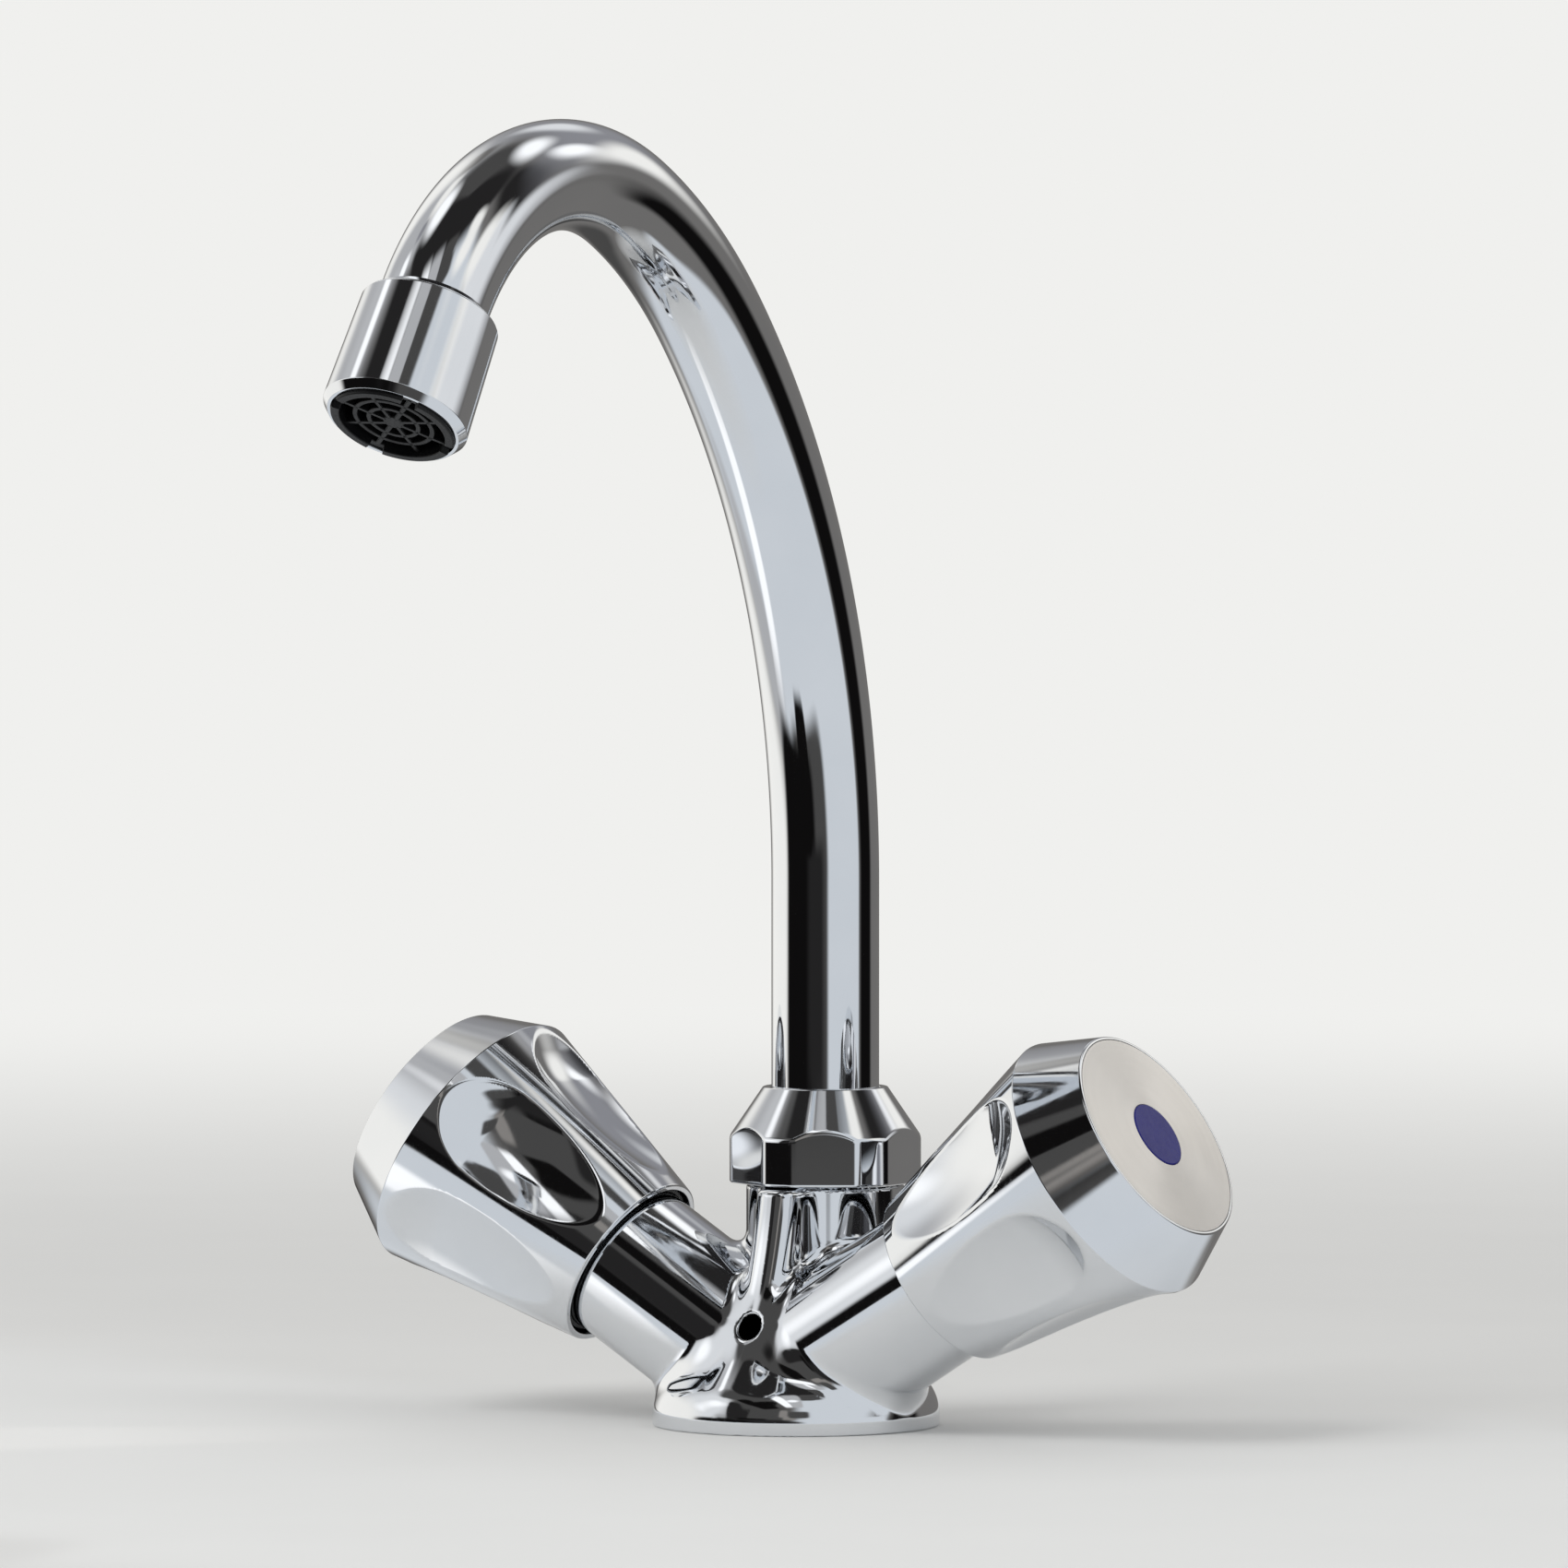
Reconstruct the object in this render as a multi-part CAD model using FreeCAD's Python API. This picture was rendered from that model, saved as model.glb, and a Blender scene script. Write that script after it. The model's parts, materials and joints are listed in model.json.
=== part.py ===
import FreeCAD, Part
import math
import os

from FreeCAD import Base

# Basin tap with two handles and a swivelling bent spout.
# Millimetres. X runs to the right, -Y to the front, +Z up.
# The origin is the centre of the foot's underside, where the foot meets the basin.

os.makedirs("parts", exist_ok=True)

# Foot and body casting
foot_dia = 48.0
foot_wall_height = 5.0
foot_bell_top_dia = 25.0
foot_bell_top = 17.5
foot_shoulder_radius = 2.0
foot_edge_chamfer = 0.4
column_setback = 9.6
column_dia = 26.4
column_top = 39.6
keel_width = 8.0
keel_nose_radius = 3.6
keel_front_top = 18.0
keel_front_bottom = 31.2
keel_hollow = 1.9
keel_foot_height = 5.6
casting_fillet = 3.0
chain_hole_dia = 4.5
chain_hole_depth = 8.0
chain_hole_height = 17.3

# Arms, which carry the headworks and handles
arm_rise_deg = 32.0
arm_forward = 2.8
arm_axis_height = 7.0
arm_dia = 26.9
arm_length = 41.5
arm_mouth_chamfer = 0.6

# Underside
seal_outer_dia = 43.0
seal_width = 3.0
seal_thickness = 1.6
seal_section_sides = 8
stud_hole_dia = 6.8
stud_hole_depth = 14.0
stud_hole_forward = 12.0
inlet_hole_dia = 9.0
inlet_hole_depth = 11.0
inlet_spacing = 17.0
inlet_back = 1.0

# Waterways
chamber_floor = 15.0
chamber_dia = 18.0
arm_thread_length = 11.5
arm_thread_dia = 21.0
seat_drill_dia = 5.0
seat_drill_bottom = 7.5
mix_bore_dia = 13.0
mix_bore_bottom = 16.5
mix_passage_dia = 5.6
mix_passage_rise = 2.8
mix_passage_reach = 19.0

# Spout socket, nut and collar
spigot_dia = 25.2
spigot_top = 48.0
socket_dia = 21.0
socket_bottom = 29.5
nut_bottom = 40.0
nut_across_flats = 30.0
nut_corner_dia = 32.0
nut_turn_deg = 30.0
nut_hex_height = 8.3
nut_height = 16.0
nut_top_dia = 20.6
nut_edge_round = 0.35
collar_flange_dia = 23.0
collar_flange_thickness = 1.7
collar_foot_gap = 0.5
collar_water_dia = 14.0
collar_ring_width = 2.0
collar_ring_section = 1.5
collar_ring_heights = (33.0, 37.0)
slip_ring_thickness = 1.3

# Spout tube: a straight rise, three tangent bends, a short straight end
tube_dia = 18.0
tube_wall = 1.0
tube_foot = 41.0
tube_straight_top = 90.6
bend_radii = (136.0, 88.0, 47.0)
bend_turns_deg = (44.0, 21.0, 82.0)
tube_end_length = 8.8

# Aerator, measured down the outlet axis from the start of the tube's straight end
bush_cone_length = 1.5
bush_cone_top_dia = 19.4
bush_thread_dia = 21.7
bush_bottom_wall = 1.2
shell_top_dia = 22.8
shell_bottom_dia = 23.9
shell_length = 20.2
shell_bevel_height = 1.3
shell_lip_dia = 21.8
shell_thread_depth = 10.6
gasket_thickness = 1.5
gasket_inner_dia = 15.6
insert_dia = 20.5
insert_flange_dia = 21.6
insert_flange_thickness = 1.5
insert_wall = 1.5
insert_stand_out = 0.6
grille_depth = 3.0
grille_recess = 0.9
grille_bar = 0.8
grille_ring_radii = (4.1, 6.4)
grille_hub_dia = 3.6
grille_spokes = 8
rim_notches = 4
rim_notch_width = 2.4
rim_notch_depth = 1.0
rim_notch_phase_deg = 45.0
screen_thickness = 0.6
screen_holes = 12
screen_hole_dia = 1.6
screen_hole_circle_dia = 10.8

# Handle, measured along the arm's axis from where the two arm axes cross
handle_overlap = 5.5
handle_body_length = 36.3
handle_band_length = 10.5
handle_start = arm_length - handle_overlap
handle_ridge = handle_start + handle_body_length
handle_end = handle_ridge + handle_band_length
handle_neck_dia = 31.2
handle_ridge_dia = 47.2
handle_end_dia = 37.4
handle_neck_wall = 1.0
handle_edge_round = 0.4
neck_bore_end = handle_start + 22.0
web_end = handle_end - 12.8
flutes = 6
flute_phase_deg = 54.0
flute_width = 20.4
flute_corner_radius = 4.9
flute_arch_centre = handle_ridge - 13.7
flute_floor_radius = 17.75
flute_floor_tilt_deg = 4.5
flute_run = 26.0

# End cap, index, insert and screw
cap_rim_wall = 0.5
cap_seat_depth = 1.6
cap_gap = 0.1
cap_crown = 0.25
cap_skirt_dia = 29.7
cap_skirt_wall = 0.95
cap_skirt_length = 4.0
cap_skirt_slots = 4
cap_skirt_slot_width = 5.0
cap_skirt_slot_length = 3.0
index_dia = 11.4
index_thickness = 1.2
index_stand_out = 0.1
index_edge_round = 0.2
index_stem_dia = 4.0
index_stem_length = 3.0
spline_insert_dia = 14.0
spline_insert_flange_dia = 19.0
spline_insert_flange = 1.3
screw_dia = 5.0
screw_head_dia = 9.0
screw_head_height = 2.8
screw_socket_flats = 4.0
screw_socket_depth = 1.8

# Headwork
housing_thread_gap = 0.05
housing_barrel_dia = 15.2
housing_barrel_bore = 13.2
housing_barrel_bottom = 17.0
housing_collar_dia = 25.6
housing_collar_thickness = 2.4
housing_hex_flats = 21.0
housing_hex_height = 6.0
housing_neck_dia = 13.0
housing_top = arm_length + 15.3
window_width = 6.0
window_bottom = 20.8
window_height = 3.2
window_phase_deg = 90.0
seat_seal_outer_dia = 13.0
seat_seal_inner_dia = 8.0
seat_seal_height = 2.5
disc_dia = 12.6
disc_thickness = 2.8
disc_port_inner_radius = 1.2
disc_port_outer_radius = 4.6
disc_port_deg = 80.0
disc_ports = 2
rotating_port_depth = 1.7
spindle_dia = 8.0
spindle_flange_dia = 12.2
spindle_flange_thickness = 3.2
spindle_top = arm_length + 26.0
spindle_root_dia = 7.0
spline_teeth = 16
spline_start = housing_top + 1.8
spindle_ring_places = (arm_length + 3.5, arm_length + 8.5)
spindle_ring_section = 1.36
spindle_groove_width = 1.8
clip_thickness = 0.8
clip_outer_dia = 11.2
clip_groove_dia = 6.8
clip_opening_deg = 60.0
housing_ring_section = 1.6
guide_ring_outer_dia = 28.6
guide_ring_start = handle_start + 1.0
guide_ring_length = 3.2

# Clearances, and how far a cutting shape runs past the face it cuts
face_gap = 0.05
fit_gap = 0.03
running_gap = 0.06
moving_gap = 0.3
overshoot = 1.0

# How the casting's hollow edges are found
smooth_normal_step = 0.15
probe_distance = 0.02
tolerance = 1e-6


def vec(x, y, z):
    return Base.Vector(x, y, z)


Z_AXIS = vec(0, 0, 1)
COLUMN = vec(0, column_setback, 0)
ARM_ORIGIN = vec(0, -arm_forward, arm_axis_height)


def cylinder(radius, bottom, top):
    return Part.makeCylinder(radius, top - bottom, vec(0, 0, bottom))


def ring(outer_radius, inner_radius, bottom, top):
    return cylinder(outer_radius, bottom, top).cut(cylinder(inner_radius, bottom, top))


def turned(points):
    """A solid of revolution about Z from (radius, height) points."""
    corners = [vec(radius, 0, height) for radius, height in points]
    wire = Part.makePolygon(corners + [corners[0]])
    return Part.Face(wire).revolve(vec(0, 0, 0), Z_AXIS, 360)


def round_seal(centre_radius, section, height):
    """A sealing ring, its round section drawn as a regular polygon inside the circle."""
    corners = []
    for k in range(seal_section_sides):
        angle = 2 * math.pi * (k + 0.5) / seal_section_sides
        corners.append((
            centre_radius + section / 2 * math.cos(angle),
            height + section / 2 * math.sin(angle),
        ))
    return turned(corners)


def prism(sides, across_flats, bottom, top, turn_deg=0.0):
    """A regular prism about Z whose first corner lies at turn_deg from +X."""
    radius = across_flats / 2 / math.cos(math.pi / sides)
    corners = []
    for k in range(sides + 1):
        angle = math.radians(turn_deg) + 2 * math.pi * k / sides
        corners.append(vec(radius * math.cos(angle), radius * math.sin(angle), bottom))
    return Part.Face(Part.makePolygon(corners)).extrude(vec(0, 0, top - bottom))


def around(shape, count, start_deg=0.0):
    """Copies of a shape spaced evenly about Z."""
    copies = []
    for k in range(count):
        copy = shape.copy()
        copy.rotate(vec(0, 0, 0), Z_AXIS, start_deg + 360.0 * k / count)
        copies.append(copy)
    return copies


def on_column(shape):
    moved = shape.copy()
    moved.translate(COLUMN)
    return moved


def on_cold_arm(shape):
    """Takes a shape built along +Z to the right arm, whose axis leaves ARM_ORIGIN."""
    moved = shape.copy()
    moved.rotate(vec(0, 0, 0), vec(0, 1, 0), 90 - arm_rise_deg)
    moved.translate(ARM_ORIGIN)
    return moved


def mirrored(shape):
    return shape.mirror(vec(0, 0, 0), vec(1, 0, 0))


def along_arm(distance):
    rise = math.radians(arm_rise_deg)
    return ARM_ORIGIN + vec(distance * math.cos(rise), 0, distance * math.sin(rise))


def rod_between(start, end, radius):
    return Part.makeCylinder(radius, (end - start).Length, start, end - start)


def foot():
    radius = foot_dia / 2
    top_radius = foot_bell_top_dia / 2
    body = turned([
        (0, 0),
        (radius - foot_edge_chamfer, 0),
        (radius, foot_edge_chamfer),
        (radius, foot_wall_height),
        (top_radius, foot_bell_top),
        (0, foot_bell_top),
    ])
    shoulder = [e for e in body.Edges if edge_ring(e, radius, foot_wall_height)]
    return body.makeFillet(foot_shoulder_radius, shoulder)


def edge_ring(edge, radius, height):
    """True for a circular edge of this radius about Z at this height."""
    curve = edge.Curve
    if not isinstance(curve, Part.Circle):
        return False
    return abs(curve.Radius - radius) < tolerance and abs(curve.Center.z - height) < tolerance


def keel():
    """The rounded rib on the centre plane, with a hollow front line from nut to foot."""
    half = keel_width / 2
    top_front = vec(-half, column_setback - keel_front_top, column_top)
    bottom_front = vec(-half, column_setback - keel_front_bottom, keel_foot_height)
    chord = bottom_front - top_front
    inward = vec(0, -chord.z, chord.y).normalize()
    middle = (top_front + bottom_front) * 0.5 + inward * keel_hollow
    back_bottom = vec(-half, column_setback, keel_foot_height)
    back_top = vec(-half, column_setback, column_top)
    front = Part.Arc(top_front, middle, bottom_front).toShape()
    rest = Part.makePolygon([bottom_front, back_bottom, back_top, top_front])
    face = Part.Face(Part.Wire([front] + rest.Edges))
    solid = face.extrude(vec(keel_width, 0, 0))
    nose = []
    for edge in solid.Edges:
        centre = edge.CenterOfMass
        if isinstance(edge.Curve, Part.Circle) and abs(abs(centre.x) - half) < tolerance:
            nose.append(edge)
    return solid.makeFillet(keel_nose_radius, nose)


def normal_at(face, point):
    u, v = face.Surface.parameter(point)
    return face.normalAt(u, v)


def inside_corners(solid):
    """The edges along which two surfaces of the casting meet in a hollow."""
    found = []
    for edge in solid.Edges:
        sides = solid.ancestorsOfType(edge, Part.Face)
        if len(sides) != 2:
            continue
        point = edge.valueAt((edge.FirstParameter + edge.LastParameter) / 2)
        across = normal_at(sides[0], point) - normal_at(sides[1], point)
        if across.Length < smooth_normal_step:
            continue
        probe = point + across.normalize() * probe_distance
        if solid.isInside(probe, tolerance, False):
            found.append(edge)
    return found


def outer_casting():
    column = cylinder(column_dia / 2, foot_wall_height / 2, column_top)
    mouth = arm_length - arm_mouth_chamfer
    arm = turned([
        (0, 0),
        (arm_dia / 2, 0),
        (arm_dia / 2, mouth),
        (arm_dia / 2 - arm_mouth_chamfer, arm_length),
        (0, arm_length),
    ])
    arm = on_cold_arm(arm)
    wide = 2 * foot_dia
    below = Part.makeBox(2 * wide, 2 * wide, foot_dia, vec(-wide, -wide, -foot_dia))
    casting = foot().fuse([on_column(column), arm, mirrored(arm), keel()])
    casting = casting.cut(below).removeSplitter()
    return casting.makeFillet(casting_fillet, inside_corners(casting))


def arm_hollow():
    """Chamber, thread and seat drilling of one arm, along +Z."""
    thread_start = arm_length - arm_thread_length
    hollow = cylinder(chamber_dia / 2, chamber_floor, thread_start)
    thread = cylinder(arm_thread_dia / 2, thread_start, arm_length + overshoot)
    seat = cylinder(seat_drill_dia / 2, seat_drill_bottom, chamber_floor)
    return hollow.fuse([thread, seat])


def inlet_place():
    return vec(inlet_spacing / 2, inlet_back, 0)


def side_waterways():
    """What is hollow on the cold side: arm, inlet and the passage to the column."""
    arm = on_cold_arm(arm_hollow())
    inlet = cylinder(inlet_hole_dia / 2, -overshoot, inlet_hole_depth)
    inlet.translate(inlet_place())
    start = COLUMN + vec(0, 0, mix_bore_bottom + mix_passage_rise)
    passage = rod_between(start, along_arm(mix_passage_reach), mix_passage_dia / 2)
    return [arm, inlet, passage]


def chain_hole():
    """A blind hole straight into the keel's front."""
    drop = column_top - chain_hole_height
    span = column_top - keel_foot_height
    forward = keel_front_top + (keel_front_bottom - keel_front_top) * drop / span
    front = column_setback - forward
    bottom = front + keel_hollow + chain_hole_depth
    mouth = vec(0, front - overshoot, chain_hole_height)
    return rod_between(mouth, vec(0, bottom, chain_hole_height), chain_hole_dia / 2)


def mixer_body():
    spigot = on_column(cylinder(spigot_dia / 2, column_top - overshoot, spigot_top))
    casting = outer_casting().fuse(spigot)
    socket = on_column(cylinder(socket_dia / 2, socket_bottom, spigot_top + overshoot))
    mix_bore = on_column(cylinder(mix_bore_dia / 2, mix_bore_bottom, socket_bottom))
    stud = cylinder(stud_hole_dia / 2, -overshoot, stud_hole_depth)
    stud.translate(vec(0, -stud_hole_forward, 0))
    groove = ring(seal_outer_dia / 2, seal_outer_dia / 2 - seal_width, -overshoot, seal_thickness)
    cold = side_waterways()
    hot = [mirrored(shape) for shape in cold]
    return casting.cut([socket, mix_bore, stud, groove, chain_hole()] + cold + hot)


def base_seal():
    outer = seal_outer_dia / 2
    return ring(outer - face_gap, outer - seal_width + face_gap, 0, seal_thickness - face_gap)


def nut_levels():
    """Heights inside the nut: the collar's flange, the slip ring and the nut's shoulder."""
    levels = {"flange_bottom": spigot_top + face_gap}
    levels["flange_top"] = levels["flange_bottom"] + collar_flange_thickness
    levels["ring_bottom"] = levels["flange_top"] + face_gap
    levels["ring_top"] = levels["ring_bottom"] + slip_ring_thickness
    levels["shoulder"] = levels["ring_top"] + face_gap
    return levels


def spout_nut():
    """Turned hexagon whose corners are round strips, with a cone above it."""
    hex_top = nut_bottom + nut_hex_height
    top = nut_bottom + nut_height
    corner = nut_corner_dia / 2
    blank = turned([
        (0, nut_bottom),
        (corner - nut_edge_round, nut_bottom),
        (corner, nut_bottom + nut_edge_round),
        (corner, hex_top - nut_edge_round),
        (corner - nut_edge_round, hex_top),
        (nut_top_dia / 2 + nut_edge_round, top - nut_edge_round),
        (nut_top_dia / 2 - nut_edge_round, top),
        (0, top),
    ])
    # The cone's foot is the hexagon's bevel, so the flats end in arcs below it.
    nut = blank.common(prism(6, nut_across_flats, nut_bottom, top, nut_turn_deg))
    shoulder = nut_levels()["shoulder"]
    thread = cylinder(spigot_dia / 2 + face_gap, nut_bottom - overshoot, spigot_top + face_gap)
    cavity = cylinder(collar_flange_dia / 2 + moving_gap, spigot_top, shoulder)
    passage = cylinder(tube_dia / 2 + moving_gap, shoulder - overshoot, top + overshoot)
    return on_column(nut.cut([thread, cavity, passage]))


def slip_ring():
    levels = nut_levels()
    inner = tube_dia / 2 + moving_gap
    outer = collar_flange_dia / 2 + moving_gap - face_gap
    return on_column(ring(outer, inner, levels["ring_bottom"], levels["ring_top"]))


def spout_collar():
    levels = nut_levels()
    foot_level = socket_bottom + collar_foot_gap
    barrel = socket_dia / 2 - running_gap
    solid = cylinder(barrel, foot_level, levels["flange_top"])
    flange = cylinder(collar_flange_dia / 2, levels["flange_bottom"], levels["flange_top"])
    seat = cylinder(tube_dia / 2 + fit_gap, tube_foot, levels["flange_top"] + overshoot)
    water = cylinder(collar_water_dia / 2, foot_level - overshoot, tube_foot)
    grooves = []
    groove_floor = barrel - collar_ring_section
    for height in collar_ring_heights:
        half = collar_ring_width / 2
        grooves.append(ring(barrel + overshoot, groove_floor, height - half, height + half))
    return on_column(solid.fuse(flange).cut([seat, water] + grooves))


def spout_seal_rings():
    outer = socket_dia / 2 - fit_gap
    centre_radius = outer - collar_ring_section / 2
    rings = [on_column(round_seal(centre_radius, collar_ring_section, h)) for h in collar_ring_heights]
    return Part.makeCompound(rings)


def spout_path():
    """The spout's centreline as a wire: straight rise, tangent bends, straight end."""
    point = vec(0, column_setback, tube_straight_top)
    heading = 0.0
    edges = [Part.LineSegment(vec(0, column_setback, tube_foot), point).toShape()]
    for radius, turn_deg in zip(bend_radii, bend_turns_deg):
        turn = math.radians(turn_deg)
        middle = arc_point(point, heading, radius, turn / 2)
        end = arc_point(point, heading, radius, turn)
        edges.append(Part.Arc(point, middle, end).toShape())
        point = end
        heading += turn
    outlet = vec(0, -math.sin(heading), math.cos(heading))
    tube_end = point + outlet * tube_end_length
    edges.append(Part.LineSegment(point, tube_end).toShape())
    return Part.Wire(edges)


def arc_point(start, heading, radius, turn):
    """A point of a bend in the centre plane; heading is the lean forward from upright."""
    back = -radius * (math.cos(heading) - math.cos(heading + turn))
    up = radius * (math.sin(heading + turn) - math.sin(heading))
    return start + vec(0, back, up)


def swept_round(path, radius):
    start = path.Edges[0].valueAt(path.Edges[0].FirstParameter)
    profile = Part.Wire(Part.Circle(start, Z_AXIS, radius).toShape())
    return path.makePipeShell([profile], True, False)


def spout_tube():
    path = spout_path()
    outer = swept_round(path, tube_dia / 2)
    inner = swept_round(path, tube_dia / 2 - tube_wall)
    return outer.cut(inner)


def on_outlet(shape):
    """Takes a shape built down +Z from the start of the tube's straight end to its place."""
    last = spout_path().Edges[-1]
    start = last.valueAt(last.FirstParameter)
    outlet = last.valueAt(last.LastParameter) - start
    moved = shape.copy()
    lean = math.degrees(math.atan2(outlet.y, outlet.z))
    moved.rotate(vec(0, 0, 0), vec(1, 0, 0), -lean)
    moved.translate(start)
    return moved


def outlet_bush():
    """Threaded bush on the tube's end; its cone is the small step above the shell."""
    cone = bush_cone_length
    tube_stop = tube_end_length + face_gap
    bottom = tube_stop + bush_bottom_wall
    solid = turned([
        (0, 0),
        (bush_cone_top_dia / 2, 0),
        (shell_top_dia / 2, cone),
        (bush_thread_dia / 2, cone),
        (bush_thread_dia / 2, bottom),
        (0, bottom),
    ])
    seat = cylinder(tube_dia / 2 + fit_gap, -overshoot, tube_stop)
    water = cylinder(tube_dia / 2 - tube_wall, tube_stop - overshoot, bottom + overshoot)
    return on_outlet(solid.cut([seat, water]))


def aerator_levels():
    """Depths below the outlet's start of the shell, the gasket and the insert."""
    levels = {"shell_top": bush_cone_length + face_gap}
    levels["shell_bottom"] = levels["shell_top"] + shell_length
    levels["gasket_top"] = tube_end_length + bush_bottom_wall + 2 * face_gap
    levels["gasket_bottom"] = levels["gasket_top"] + gasket_thickness
    levels["insert_top"] = levels["gasket_bottom"] + face_gap
    levels["flange_bottom"] = levels["insert_top"] + insert_flange_thickness
    levels["insert_bottom"] = levels["shell_bottom"] + insert_stand_out
    return levels


def aerator_shell():
    levels = aerator_levels()
    top = levels["shell_top"]
    bottom = levels["shell_bottom"]
    lip = levels["flange_bottom"] + face_gap
    solid = turned([
        (0, top),
        (shell_top_dia / 2, top),
        (shell_bottom_dia / 2, bottom - shell_bevel_height),
        (shell_lip_dia / 2, bottom),
        (0, bottom),
    ])
    thread = cylinder(bush_thread_dia / 2 + face_gap, top - overshoot, lip)
    mouth = cylinder(insert_dia / 2 + face_gap, lip - overshoot, bottom + overshoot)
    return on_outlet(solid.cut([thread, mouth]))


def aerator_gasket():
    levels = aerator_levels()
    outer = bush_thread_dia / 2 - face_gap
    return on_outlet(ring(outer, gasket_inner_dia / 2, levels["gasket_top"], levels["gasket_bottom"]))


def grille(bottom):
    """Hub, spokes and rings that straighten the water, ending at this depth."""
    top = bottom - grille_depth
    inner = insert_dia / 2 - insert_wall
    bars = [cylinder(grille_hub_dia / 2, top, bottom)]
    for radius in grille_ring_radii:
        bars.append(ring(radius + grille_bar / 2, radius - grille_bar / 2, top, bottom))
    spoke = Part.makeBox(inner + insert_wall / 2, grille_bar, grille_depth, vec(0, -grille_bar / 2, top))
    bars += around(spoke, grille_spokes)
    return bars[0].fuse(bars[1:])


def aerator_insert():
    levels = aerator_levels()
    top = levels["insert_top"]
    bottom = levels["insert_bottom"]
    outer = insert_dia / 2
    flange = ring(insert_flange_dia / 2, outer - insert_wall, top, levels["flange_bottom"])
    barrel = ring(outer, outer - insert_wall, top, bottom)
    body = flange.fuse([barrel, grille(bottom - grille_recess)])
    corner = vec(outer - insert_wall - fit_gap, -rim_notch_width / 2, bottom - rim_notch_depth)
    notch = Part.makeBox(2 * outer, rim_notch_width, 2 * rim_notch_depth, corner)
    return on_outlet(body.cut(around(notch, rim_notches, rim_notch_phase_deg)).removeSplitter())


def aerator_screen():
    bottom = aerator_levels()["insert_bottom"] - grille_recess - grille_depth - face_gap
    top = bottom - screen_thickness
    radius = insert_dia / 2 - insert_wall - face_gap
    plate = cylinder(radius, top, bottom)
    hole = cylinder(screen_hole_dia / 2, top - overshoot, bottom + overshoot)
    hole.translate(vec(screen_hole_circle_dia / 2, 0, 0))
    return on_outlet(plate.cut(around(hole, screen_holes)))


def flute_cutter():
    """A tongue with a round end and soft lower corners, as a ball-cornered mill leaves it."""
    half = flute_width / 2
    height = handle_ridge_dia / 2
    arch = Part.Arc(vec(0, -half, 0), vec(0, 0, half), vec(0, half, 0)).toShape()
    run = Part.makePolygon([
        vec(0, half, 0),
        vec(0, half, -flute_run),
        vec(0, -half, -flute_run),
        vec(0, -half, 0),
    ])
    face = Part.Face(Part.Wire([arch] + run.Edges))
    tongue = face.extrude(vec(height, 0, 0))
    floor_edges = []
    for edge in tongue.Edges:
        centre = edge.CenterOfMass
        if abs(centre.x) < tolerance and centre.z > -flute_run + tolerance:
            floor_edges.append(edge)
    tongue = tongue.makeFillet(flute_corner_radius, floor_edges)
    tongue.rotate(vec(0, 0, 0), vec(0, 1, 0), flute_floor_tilt_deg)
    tongue.translate(vec(flute_floor_radius, 0, flute_arch_centre))
    return tongue


def handle_outside():
    neck = handle_neck_dia / 2
    ridge = handle_ridge_dia / 2
    end = handle_end_dia / 2
    body = turned([
        (0, handle_start),
        (neck, handle_start),
        (ridge, handle_ridge),
        (end, handle_end),
        (0, handle_end),
    ])
    rims = []
    for radius, height in ((neck, handle_start), (ridge, handle_ridge), (end, handle_end)):
        rims += [e for e in body.Edges if edge_ring(e, radius, height)]
    body = body.makeFillet(handle_edge_round, rims)
    return body.cut(around(flute_cutter(), flutes, flute_phase_deg))


def handle():
    neck_bore = handle_neck_dia / 2 - handle_neck_wall
    cap_seat = handle_end_dia / 2 - cap_rim_wall
    cap_floor = handle_end - cap_seat_depth
    hollows = [
        cylinder(neck_bore, handle_start - overshoot, neck_bore_end),
        cylinder(spline_insert_dia / 2 + fit_gap, neck_bore_end - overshoot, web_end + overshoot),
        cylinder(cap_skirt_dia / 2 + cap_gap, web_end, handle_end + overshoot),
        cylinder(cap_seat, cap_floor, handle_end + overshoot),
    ]
    return handle_outside().cut(hollows)


def spline_profile(tip_radius, root_radius, bottom, top):
    """A prism with evenly spaced square teeth between two radii."""
    corners = []
    for k in range(spline_teeth):
        for step, radius in ((0, tip_radius), (1, tip_radius), (2, root_radius), (3, root_radius)):
            angle = 2 * math.pi * (k + step / 4) / spline_teeth
            corners.append(vec(radius * math.cos(angle), radius * math.sin(angle), bottom))
    face = Part.Face(Part.makePolygon(corners + [corners[0]]))
    return face.extrude(vec(0, 0, top - bottom))


def spline_insert():
    outer = spline_insert_dia / 2
    top = web_end + spline_insert_flange + face_gap
    body = cylinder(outer, spline_start, top)
    flange = cylinder(spline_insert_flange_dia / 2, web_end + face_gap, top)
    tip_radius = spindle_dia / 2 + fit_gap
    root_radius = spindle_root_dia / 2 + fit_gap
    teeth = spline_profile(tip_radius, root_radius, spline_start, spindle_top)
    screw_way = cylinder(screw_dia / 2 + fit_gap, spindle_top - overshoot, top + overshoot)
    return body.fuse(flange).cut([teeth, screw_way])


def handle_screw():
    head_bottom = web_end + spline_insert_flange + 2 * face_gap
    head_top = head_bottom + screw_head_height
    shank = cylinder(screw_dia / 2 - fit_gap, spline_start, head_bottom)
    head = cylinder(screw_head_dia / 2, head_bottom, head_top)
    socket = prism(6, screw_socket_flats, head_top - screw_socket_depth, head_top + overshoot)
    return shank.fuse(head).cut(socket)


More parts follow.
